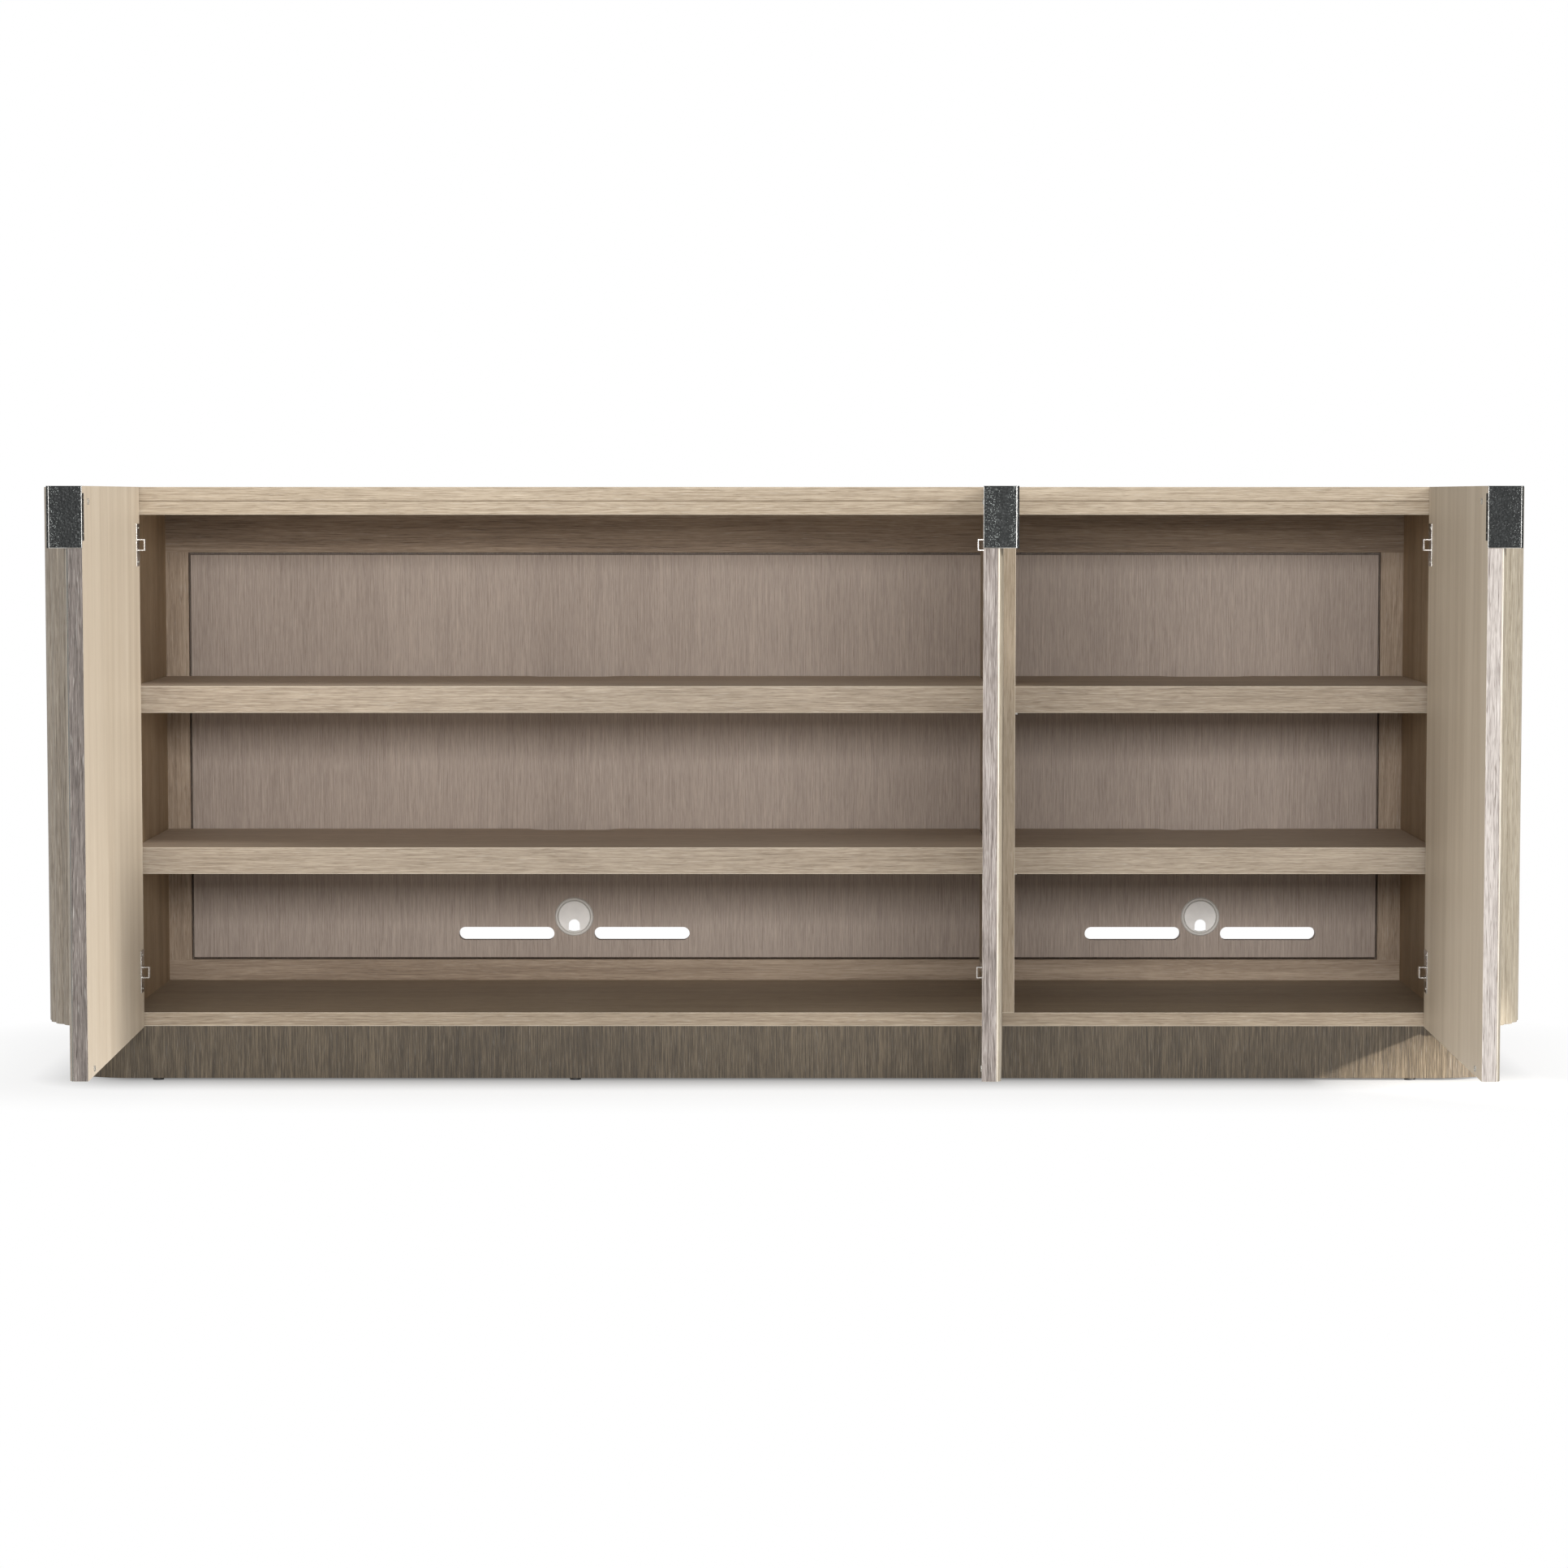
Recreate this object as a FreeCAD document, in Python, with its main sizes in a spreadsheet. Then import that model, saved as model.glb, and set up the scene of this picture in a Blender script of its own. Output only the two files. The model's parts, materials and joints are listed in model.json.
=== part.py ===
"""Media cabinet: a long low cabinet with three fluted doors, fluted rounded ends and a plinth.

Millimetres, +Z up. The origin is on the floor, at the centre of the case's footprint, under the
middle foot. +X runs along the cabinet to the viewer's right and +Y runs from the doors to the back.
The doors are modelled closed, each about its own hinge axis, and are then turned to their rest angle.
"""
import FreeCAD, Part
import math
import os
import re
import Sketcher

# Each size: its name in the sheet, its value in millimetres (or degrees, or a count), what it is.
SIZES = [
    ("case_width", 2134, "overall width over the fluted ends"),
    ("case_height", 850, "floor to the top"),
    ("case_depth", 481, "front edges of the case to its back edges, without the doors"),
    ("top_thick", 20, "top panel"),
    ("sub_thick", 19.5, "panel under the top"),
    ("bottom_thick", 19.5, "bottom panel"),
    ("wall_thick", 19.5, "inner side walls"),
    ("divider_thick", 32, "wall between the compartments"),
    ("corner_radius", 123.5, "quarter-round ends, over the reeds"),
    ("joint_clear", 0.3, "clearance of glued and sliding joints"),
    ("reed_depth", 4.5, "height of a reed above its valleys"),
    ("reed_base", 1.5, "facing behind the valleys of a door's reeds"),
    ("corner_reeds", 7, "reeds round each end"),
    ("side_reeds", 15, "reeds along each side"),
    ("door_reeds", 24, "reeds on each door"),
    ("rib_thick", 18, "upright ribs in the hollow ends"),
    ("door_thick", 25, "door over its reeds"),
    ("door_gap", 3, "gap between neighbouring doors"),
    ("side_gap", 2, "gap between an outer door and the fluted end"),
    ("face_gap", 2, "gap between a closed door and the case"),
    ("swing_clear", 0.5, "clearance of a door's hinge edge as it turns"),
    ("reed_inset", 1.2, "facing set in from the door's upright edges"),
    ("left_open", 88.7, "rest angle of the left door"),
    ("middle_open", 87.2, "rest angle of the middle door"),
    ("right_open", 89.1, "rest angle of the right door"),
    ("back_thick", 19, "frame and panel of the back"),
    ("back_inset", 18, "back frame in from the case's back edges"),
    ("stile_width", 34.5, "uprights of the back frame"),
    ("low_rail", 31.5, "bottom rail of the back frame"),
    ("high_rail", 59, "top rail of the back frame"),
    ("groove_width", 2.5, "shadow groove round the back panel"),
    ("lip_lap", 12, "lap of the back panel's lip over the frame"),
    ("lip_thick", 6, "lip round the back panel"),
    ("slot_length", 146, "cable slots, end to end"),
    ("slot_height", 20, "cable slots"),
    ("slot_spread", 61, "between the inner ends of a pair of slots"),
    ("slot_rise", 71.5, "slot centres above the bottom panel"),
    ("port_rise", 97.4, "grommet centres above the bottom panel"),
    ("ring_radius", 29.5, "grommet flange"),
    ("ring_proud", 3, "grommet flange in front of the back panel"),
    ("port_radius", 27, "hole for the grommet"),
    ("sleeve_radius", 26.8, "grommet sleeve, outside"),
    ("sleeve_bore", 24.4, "grommet sleeve, inside"),
    ("ledge_bore", 22.2, "ledge behind the grommet cap"),
    ("cap_radius", 23.6, "grommet cap"),
    ("cap_thick", 2.1, "grommet cap"),
    ("notch_width", 17, "cable notch in the cap"),
    ("notch_start", 4.1, "closed end of the cap's notch below its centre"),
    ("bevel_wide", 1.6, "bevels of the grommet flange, across"),
    ("bevel_deep", 2, "bevels of the grommet flange, front to back"),
    ("ledge_start", 1, "ledge in the sleeve behind the back panel's face"),
    ("ledge_thick", 2, "ledge in the sleeve"),
    ("shelf_thick", 38.5, "shelves"),
    ("shelf_setback", 60, "shelf fronts behind the case's front"),
    ("shelf_back_gap", 7, "between a shelf and the back"),
    ("shelf_side_gap", 1.5, "between a shelf and the walls"),
    ("upper_shelf", 564, "upper surface of the upper shelves above the floor"),
    ("lower_shelf", 331, "upper surface of the lower shelves above the floor"),
    ("relief_width", 136, "cable relief in a shelf's back edge, at its mouth"),
    ("relief_floor", 100, "cable relief, at its floor"),
    ("relief_depth", 25, "cable relief"),
    ("relief_round", 14, "rounding of the relief's corners"),
    ("peg_radius", 2.5, "shelf pins"),
    ("peg_reach", 8, "shelf pins, in the wall and out of it"),
    ("peg_inset", 40, "shelf pins from the shelf's front and back edges"),
    ("peg_clear", 0.1, "radial clearance of pins and screws in their holes"),
    ("plinth_height", 78.5, "floor to the bottom panel"),
    ("plinth_thick", 18, "plinth boards"),
    ("plinth_inset", 2, "plinth behind the edge of the bottom panel"),
    ("plinth_back", 20, "plinth in from the case's back edges"),
    ("rail_spread", 600, "between the cross rails of the plinth"),
    ("foot_height", 3, "feet under the plinth"),
    ("foot_radius", 8, "feet under the plinth"),
    ("foot_spread", 600, "between the feet along the plinth"),
    ("hinge_inset", 82, "hinge centres from a door's top and bottom"),
    ("cup_radius", 17.5, "hinge cups"),
    ("cup_depth", 17.5, "hinge cups"),
    ("cup_edge", 22.5, "hinge cup centres from the door's hinge edge"),
    ("flange_tall", 60, "hinge cup flange"),
    ("flange_wide", 32, "hinge cup flange"),
    ("flange_thick", 1.2, "hinge cup flange"),
    ("hood_tall", 16.3, "hood over the hinge cup"),
    ("hood_rise", 12.2, "hood over the hinge cup, from the door"),
    ("hood_wide", 14, "hood over the hinge cup"),
    ("hood_thick", 1.5, "hood over the hinge cup"),
    ("arm_tall", 14, "hinge arms"),
    ("arm_half", 2.5, "half the thickness of a hinge arm"),
    ("eye_radius", 3.6, "eye of a hinge arm, round its pin"),
    ("arm_clear", 0.4, "clearance round a hinge arm"),
    ("pin_radius", 2, "hinge pins"),
    ("pin_fit", 0.05, "running clearance of a hinge pin in its arm"),
    ("pin_long", 26, "hinge pins"),
    ("plate_start", 22, "hinge plates behind the front edge of the case"),
    ("plate_deep", 40, "hinge plates, front to back"),
    ("plate_tall", 50, "hinge plates"),
    ("plate_rise", 10, "hinge arm above the wall its plate is screwed to"),
    ("plate_base", 3, "thin base of a hinge plate"),
    ("pull_tall", 80, "door pulls"),
    ("pull_proud", 21, "door pulls in front of the reeds"),
    ("pull_front", 45, "front leg of a door pull"),
    ("pull_plate", 2.5, "plate that a door pull is bent from"),
    ("pull_bend", 3, "outer bend of a door pull"),
    ("tab_wide", 21, "fixing tab of a door pull"),
    ("tab_tall", 61, "fixing tab of a door pull"),
    ("recess_clear", 0.2, "clearance round a pull's recess"),
    ("screw_radius", 1.6, "screw shanks"),
    ("screw_long", 12, "screw shanks"),
    ("head_radius", 3.2, "screw heads"),
    ("head_thick", 1.2, "screw heads"),
    ("tip_clear", 1, "screw holes past the screws' ends"),
    ("overcut", 1, "cutting solids past the faces that they cut"),
    ("bumper_radius", 4, "door bumpers"),
    ("bumper_thick", 1.7, "door bumpers"),
    ("bumper_inset", 60, "door bumpers from the door's free edge"),
]

# Places and sizes that follow from the sheet.
FORMULAS = {
    "front": "-case_depth / 2",
    "back": "case_depth / 2",
    "corner_x": "case_width / 2 - corner_radius",
    "shell_thick": "door_thick + face_gap",
    "panel_radius": "corner_radius - shell_thick",
    "panel_half": "corner_x + panel_radius",
    "corner_y": "front + panel_radius",
    "shell_inside": "panel_radius + joint_clear",
    "reed_valley": "corner_radius - reed_depth",
    "inner_half": "corner_x - side_gap",
    "wall_front": "corner_y - sqrt(panel_radius^2 - (wall_thick - side_gap)^2)",
    "deck": "plinth_height + bottom_thick",
    "ceiling": "case_height - top_thick - sub_thick",
    "back_face": "back - back_inset - back_thick",
    "lip_face": "back - back_inset - lip_thick",
    "back_rear": "back - back_inset",
    "door_width": "(2 * corner_x - 2 * side_gap - 2 * door_gap) / 3",
    "door_half": "door_thick / 2",
    "divider_x": "door_width / 2 + door_gap / 2",
    "divider_left": "divider_x - divider_thick / 2",
    "divider_right": "divider_x + divider_thick / 2",
    "hinge_y": "front - face_gap - door_half",
    "outer_hinge_x": "inner_half - door_half",
    "middle_hinge_x": "door_width / 2 - door_half",
    "free_edge": "door_width - door_half",
    "facing_back": "door_half - door_thick + reed_depth + reed_base",
    "low_hinge": "plinth_height + hinge_inset",
    "high_hinge": "case_height - hinge_inset",
    "cup_x": "cup_edge - door_half",
    "cup_floor": "door_half - cup_depth",
    "arm_end": "door_half + face_gap + plate_start + plate_deep",
    "middle_plate": "middle_hinge_x - divider_left",
    "left_port_x": "(divider_left - inner_half) / 2",
    "right_port_x": "(divider_right + inner_half) / 2",
    "port_z": "deck + port_rise",
    "slot_z": "deck + slot_rise",
    "pull_low": "case_height - pull_tall",
    "tab_low": "case_height - pull_tall / 2 - tab_tall / 2",
    "tab_high": "case_height - pull_tall / 2 + tab_tall / 2",
    "shelf_front": "front + shelf_setback",
    "shelf_rear": "back_face - shelf_back_gap",
    "plinth_rear": "back - plinth_back",
}

doc = FreeCAD.newDocument("media_cabinet")
sheet = doc.addObject("Spreadsheet::Sheet", "Sizes")
for row, (alias, value, meaning) in enumerate(SIZES, start=1):
    sheet.set(f"A{row}", meaning)
    sheet.set(f"B{row}", str(value))
    sheet.setAlias(f"B{row}", alias)
doc.recompute()

ALIASES = {alias for alias, value, meaning in SIZES}
HINGES = ("low_hinge", "high_hinge")
SAME_PLACE = 0.01
pieces = []


# ---- Reading the sheet ----------------------------------------------------------------------------

def formula(text):
    """Write out a size formula so that it names only cells of the sheet."""
    def spell(match):
        word = match.group()
        if word in FORMULAS:
            return "(" + formula(FORMULAS[word]) + ")"
        if word in ALIASES:
            return "Sizes." + word
        return word
    return re.sub(r"[a-z]+(?:_[a-z]+)*", spell, text)


def size(text):
    """The present value of a size formula."""
    return float(sheet.evalExpression(formula(text)))


def bind(thing, prop, text):
    thing.setExpression(prop, formula(text))


def put(thing, x="0", y="0", z="0"):
    """Bind a thing's position to formulas."""
    for axis, text in (("x", x), ("y", y), ("z", z)):
        bind(thing, "Placement.Base." + axis, text)


def piece(label, thing):
    """Make a thing one of the cabinet's sub-parts."""
    thing.Label = label
    pieces.append(thing)
    return thing


# ---- Primitives and booleans ----------------------------------------------------------------------

def span(hand, low, high):
    """A stretch along X, mirrored for a right-handed piece (hand -1)."""
    return (low, high) if hand > 0 else (f"-({high})", f"-({low})")


def block(name, x, y, z):
    """A box between a low and a high formula along each axis."""
    solid = doc.addObject("Part::Box", name)
    for side, (low, high) in (("Length", x), ("Width", y), ("Height", z)):
        bind(solid, side, f"({high}) - ({low})")
    put(solid, x[0], y[0], z[0])
    return solid


TURNS = {
    "X": FreeCAD.Rotation(FreeCAD.Vector(0, 1, 0), 90),
    "Y": FreeCAD.Rotation(FreeCAD.Vector(1, 0, 0), -90),
    "Z": FreeCAD.Rotation(),
}


def rod(name, axis, across, along, radius):
    """A cylinder along an axis: across is its place on the other two axes, along its two ends."""
    solid = doc.addObject("Part::Cylinder", name)
    solid.Placement = FreeCAD.Placement(FreeCAD.Vector(), TURNS[axis])
    bind(solid, "Radius", radius)
    bind(solid, "Height", f"({along[1]}) - ({along[0]})")
    place = list(across)
    place.insert("XYZ".index(axis), along[0])
    put(solid, *place)
    return solid


def join(name, solids):
    """One solid made of several that touch or overlap."""
    if len(solids) == 1:
        return solids[0]
    fusion = doc.addObject("Part::MultiFuse", name)
    fusion.Shapes = solids
    fusion.Refine = True
    return fusion


def cut(name, base, tools):
    result = doc.addObject("Part::Cut", name)
    result.Base = base
    result.Tool = join(name + "_tools", tools)
    result.Refine = True
    return result


def group(name, solids):
    """Several separate solids that share one node."""
    compound = doc.addObject("Part::Compound", name)
    compound.Links = solids
    return compound


# ---- Sketched bodies ------------------------------------------------------------------------------

def origin_plane(body, role):
    return next(part for part in body.Origin.OriginFeatures if part.Role == role)


def point(corner):
    return FreeCAD.Vector(size(corner[0]), size(corner[1]), 0)


def bowed(start, end, radius, side):
    """A counter-clockwise arc between two points; it bows to the left (side 1) or right (side -1)
    of the way from start to end."""
    chord = end - start
    half = chord.Length / 2
    rise = radius - math.sqrt(radius * radius - half * half)
    left = FreeCAD.Vector(-chord.y, chord.x, 0).normalize()
    middle = (start + end) / 2 + left * (side * rise)
    return Part.Arc(start, middle, end) if side < 0 else Part.Arc(end, middle, start)


def outline(body, name, corners, arcs=None):
    """A closed sketch through corners given as (x, y) formulas.

    arcs gives, for the edge that leaves a numbered corner, its radius formula and which way it bows.
    """
    arcs = arcs or {}
    sketch = body.newObject("Sketcher::SketchObject", name)
    sketch.AttachmentSupport = [(origin_plane(body, "XY_Plane"), "")]
    sketch.MapMode = "FlatFace"
    count = len(corners)
    ends = {}
    for number, corner in enumerate(corners):
        start = point(corner)
        end = point(corners[(number + 1) % count])
        if number not in arcs:
            edge = sketch.addGeometry(Part.LineSegment(start, end), False)
            ends[number] = (edge, 1, 2)
            continue
        radius, side = arcs[number]
        edge = sketch.addGeometry(bowed(start, end, size(radius), side), False)
        ends[number] = (edge, 1, 2) if side < 0 else (edge, 2, 1)
        held = sketch.addConstraint(Sketcher.Constraint("Radius", edge, size(radius)))
        sketch.setExpression(f"Constraints[{held}]", formula(radius))
    for number, (x, y) in enumerate(corners):
        edge, start, end = ends[number]
        before, _, meets = ends[(number - 1) % count]
        sketch.addConstraint(Sketcher.Constraint("Coincident", before, meets, edge, start))
        for kind, text in (("DistanceX", x), ("DistanceY", y)):
            held = sketch.addConstraint(Sketcher.Constraint(kind, -1, 1, edge, start, size(text)))
            sketch.setExpression(f"Constraints[{held}]", formula(text))
    return sketch


def pad(body, sketch, length):
    feature = body.newObject("PartDesign::Pad", sketch.Name + "_pad")
    feature.Profile = sketch
    bind(feature, "Length", length)
    return feature


def new_body(name):
    return doc.addObject("PartDesign::Body", name)


def slab(name, corners, low, high, arcs=None):
    """A body of one outline, between two heights."""
    body = new_body(name)
    sketch = outline(body, name + "_outline", corners, arcs)
    pad(body, sketch, f"({high}) - ({low})")
    put(body, z=low)
    return body


def round_edges(body, radius, spots):
    """Round the upright edges of a body that stand at the given (x, y) formulas."""
    doc.recompute()
    base = body.Tip
    names = []
    for spot in spots:
        corner = point(spot)
        for number, edge in enumerate(base.Shape.Edges, start=1):
            near = [math.hypot(v.X - corner.x, v.Y - corner.y) < SAME_PLACE for v in edge.Vertexes]
            if len(near) == 2 and all(near):
                names.append(f"Edge{number}")
    if len(names) < len(spots):
        raise RuntimeError(f"{body.Name}: an edge to round is missing")
    feature = body.newObject("PartDesign::Fillet", body.Name + f"_round_{len(body.Group)}")
    feature.Base = (base, names)
    bind(feature, "Radius", radius)
    body.Tip = feature
    return feature


def linear_rows(body, feature, sketch, axis, pitch, count, reverse=False):
    """Repeat a feature along a sketch axis."""
    rows = body.newObject("PartDesign::LinearPattern", body.Name + "_rows")
    rows.Originals = [feature]
    rows.Direction = (sketch, [axis])
    rows.Reversed = reverse
    rows.Mode = "Spacing"
    bind(rows, "Offset", pitch)
    bind(rows, "Occurrences", count)
    body.Tip = rows


def bow_radius(chord, rise):
    """The radius of an arc of a given chord and rise, as a formula."""
    return f"(({chord})^2 / 4 + ({rise})^2) / (2 * ({rise}))"


# ---- The case -------------------------------------------------------------------------------------

def case_panel(label, low, high):
    """A full-width panel with rounded front corners, which the fluted ends wrap round."""
    x, y, rear = "panel_half", "front", "back"
    corners = [(f"-{x}", y), (x, y), (x, rear), (f"-{x}", rear)]
    body = slab(label + "_body", corners, low, high)
    round_edges(body, "panel_radius", corners[:2])
    piece(label, body)


def peg_spots():
    """Where the shelf pins stand on a wall: (y, z) formulas."""
    rows = ("shelf_front + peg_inset", "shelf_rear - peg_inset")
    heights = ("upper_shelf - shelf_thick - peg_radius", "lower_shelf - shelf_thick - peg_radius")
    return [(y, z) for z in heights for y in rows]


def plate_screw_spots():
    """Where the hinge plates are screwed to a wall: (y, z) formulas."""
    y = "front + plate_start + plate_deep / 2"
    return [(y, f"{hinge} + {side} * plate_tall / 3") for hinge in HINGES for side in (-1, 1)]


def wall_holes(name, face, into, screwed):
    """Holes for pins and hinge screws in the wall face at x = face; into is 1 or -1 along X."""
    reach = [(spot, "peg_radius + peg_clear", "peg_reach") for spot in peg_spots()]
    if screwed:
        screws = plate_screw_spots()
        reach += [(spot, "screw_radius + peg_clear", "screw_long + tip_clear") for spot in screws]
    holes = []
    for number, (spot, radius, deep) in enumerate(reach):
        far = f"({face}) + {into} * ({deep})"
        near = f"({face}) - {into} * overcut"
        ends = (near, far) if into > 0 else (far, near)
        holes.append(rod(f"{name}_hole_{number}", "X", spot, ends, radius))
    return holes


def walls():
    for side, hand in (("left", 1), ("right", -1)):
        x = span(hand, "-inner_half - wall_thick", "-inner_half")
        board = block(f"{side}_wall_board", x, ("wall_front", "back"), ("deck", "ceiling"))
        holes = wall_holes(f"{side}_wall", f"{-hand} * inner_half", -hand, True)
        piece(f"side_wall_{side}", cut(f"{side}_wall", board, holes))
    x = ("divider_left", "divider_right")
    board = block("divider_board", x, ("front", "back_face"), ("deck", "ceiling"))
    holes = wall_holes("divider_left_face", "divider_left", 1, True)
    holes += wall_holes("divider_right_face", "divider_right", -1, False)
    piece("centre_divider", cut("divider", board, holes))


def reed_rows(name, start, back, valley, pitch, count, reverse):
    """A straight reeded board of staves, one reed each, that bow towards -Y from the valleys."""
    step = f"-{pitch}" if reverse else pitch
    body = new_body(name + "_body")
    far = f"{start} + {step}"
    stave = [(start, back), (start, valley), (far, valley), (far, back)]
    arcs = {1: (bow_radius(pitch, "reed_depth"), 1 if reverse else -1)}
    sketch = outline(body, name + "_stave", stave, arcs)
    feature = pad(body, sketch, "case_height - plinth_height")
    linear_rows(body, feature, sketch, "H_Axis", pitch, count, reverse)
    return body


def fluted_corner(side, hand):
    """A quarter-round end built of staves, each with one reed."""
    turn = "(90 / corner_reeds)"
    spots = (("shell_inside", "0"), ("reed_valley", "0"), ("reed_valley", turn), ("shell_inside", turn))
    stave = [(f"-{hand} * {radius} * sin({angle})", f"-{radius} * cos({angle})") for radius, angle in spots]
    rise = f"corner_radius - reed_valley * cos({turn} / 2)"
    chord = f"2 * reed_valley * sin({turn} / 2)"
    body = new_body(f"{side}_corner_body")
    arcs = {1: (bow_radius(chord, rise), hand), 3: ("shell_inside", -hand)}
    sketch = outline(body, f"{side}_corner_stave", stave, arcs)
    feature = pad(body, sketch, "case_height - plinth_height")
    ring = body.newObject("PartDesign::PolarPattern", f"{side}_corner_ring")
    ring.Originals = [feature]
    ring.Axis = (sketch, ["N_Axis"])
    ring.Reversed = hand > 0
    bind(ring, "Angle", f"90 - {turn}")
    bind(ring, "Occurrences", "corner_reeds")
    body.Tip = ring
    put(body, f"-{hand} * corner_x", "corner_y", "plinth_height")
    piece(f"fluted_corner_{side}", body)


def fluted_side(side, hand):
    """The straight fluted panel between the rounded end and the back, turned to face outwards."""
    pitch = "((back - corner_y) / side_reeds)"
    body = reed_rows(f"{side}_side", "0", "0", "shell_inside - reed_valley", pitch, "side_reeds", False)
    body.Placement = FreeCAD.Placement(FreeCAD.Vector(), FreeCAD.Rotation(FreeCAD.Vector(0, 0, -hand), 90))
    put(body, f"-{hand} * (panel_half + joint_clear)", "back" if hand > 0 else "corner_y", "plinth_height")
    piece(f"fluted_side_{side}", body)


def end_ribs():
    """Upright ribs between the inner walls and the fluted sides; the last closes the back."""
    ribs = []
    for side, hand in (("left", 1), ("right", -1)):
        x = span(hand, "-panel_half", "-inner_half - wall_thick")
        for number in range(3):
            far = f"back - (back - corner_y - rib_thick) * {2 - number} / 2"
            ribs.append(block(f"{side}_rib_{number}", x, (f"{far} - rib_thick", far), ("deck", "ceiling")))
    piece("end_ribs", group("ribs", ribs))


def back_frame():
    """Rails and stiles with a rebate behind for the panel's lip."""
    y = ("back_face", "back_rear")
    rebate = "(lip_lap + joint_clear)"
    deep = ("lip_face", "back_rear + overcut")
    low_top = "deck + low_rail"
    high_bottom = "ceiling - high_rail"
    inner = "(inner_half - stile_width)"
    wide = (f"-{inner} - {rebate}", f"{inner} + {rebate}")
    full = ("-inner_half", "inner_half")

    rail = block("low_rail_board", full, y, ("deck", low_top))
    step = block("low_rail_step", wide, deep, (f"{low_top} - {rebate}", f"{low_top} + overcut"))
    piece("back_rail_bottom", cut("low_rail_cut", rail, [step]))

    rail = block("high_rail_board", full, y, (high_bottom, "ceiling"))
    step = block("high_rail_step", wide, deep, (f"{high_bottom} - overcut", f"{high_bottom} + {rebate}"))
    piece("back_rail_top", cut("high_rail_cut", rail, [step]))

    for side, hand in (("left", 1), ("right", -1)):
        x = span(hand, "-inner_half", f"-{inner}")
        stile = block(f"{side}_stile_board", x, y, (low_top, high_bottom))
        x = span(hand, f"-{inner} - {rebate}", f"-{inner} + overcut")
        step = block(f"{side}_stile_step", x, deep, (f"{low_top} - overcut", f"{high_bottom} + overcut"))
        piece(f"back_stile_{side}", cut(f"{side}_stile", stile, [step]))


def slot(name, start, end):
    """A round-ended cable slot through the back panel, as the cutting solids."""
    y = ("back_face - overcut", "back_rear + overcut")
    r = "slot_height / 2"
    middle = block(name, (f"{start} + {r}", f"{end} - {r}"), y, (f"slot_z - {r}", f"slot_z + {r}"))
    return [
        middle,
        rod(name + "_start", "Y", (f"{start} + {r}", "slot_z"), y, r),
        rod(name + "_end", "Y", (f"{end} - {r}", "slot_z"), y, r),
    ]


def lip_screw_spots():
    """Screws through the panel's lip into the frame: (x, z) formulas."""
    reach = "(inner_half - stile_width + lip_lap / 2)"
    low = "deck + low_rail - lip_lap / 2"
    high = "ceiling - high_rail + lip_lap / 2"
    spots = []
    for z in (low, high):
        spots += [(f"{share} * {reach}", z) for share in (-0.8, -0.4, 0, 0.4, 0.8)]
    for sign in (-1, 1):
        spots += [(f"{sign} * {reach}", f"{low} + ({high} - ({low})) * {share}") for share in (0.25, 0.75)]
    return spots


def back_panel():
    """One panel behind both compartments, with a lip, cable slots and grommet holes."""
    inner = "(inner_half - stile_width)"
    low_top = "deck + low_rail"
    high_bottom = "ceiling - high_rail"
    face = block(
        "panel_face",
        (f"-{inner} + groove_width", f"{inner} - groove_width"),
        ("back_face", "back_rear"),
        (f"{low_top} + groove_width", f"{high_bottom} - groove_width"),
    )
    lip = block(
        "panel_lip",
        (f"-{inner} - lip_lap", f"{inner} + lip_lap"),
        ("lip_face", "back_rear"),
        (f"{low_top} - lip_lap", f"{high_bottom} + lip_lap"),
    )
    y = ("back_face - overcut", "back_rear + overcut")
    tools = []
    for side in ("left", "right"):
        x = f"{side}_port_x"
        tools.append(rod(f"{side}_port", "Y", (x, "port_z"), y, "port_radius"))
        tools += slot(f"{side}_slot_a", f"{x} - slot_spread / 2 - slot_length", f"{x} - slot_spread / 2")
        tools += slot(f"{side}_slot_b", f"{x} + slot_spread / 2", f"{x} + slot_spread / 2 + slot_length")
    hole = "screw_radius + peg_clear"
    for number, spot in enumerate(lip_screw_spots()):
        ends = ("lip_face - overcut", "back_rear + overcut")
        tools.append(rod(f"lip_hole_{number}", "Y", spot, ends, hole))
    piece("back_panel", cut("panel", join("panel_blank", [face, lip]), tools))

    # The screws end in the frame, whose rebate they cross.
    screws = []
    for number, spot in enumerate(lip_screw_spots()):
        shank = rod(f"lip_shank_{number}", "Y", spot, ("lip_face", "back_rear"), "screw_radius")
        ends = ("back_rear", "back_rear + head_thick")
        head = rod(f"lip_head_{number}", "Y", spot, ends, "head_radius")
        screws.append(join(f"lip_screw_{number}", [shank, head]))
    piece("back_screws", group("lip_screws", screws))


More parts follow.
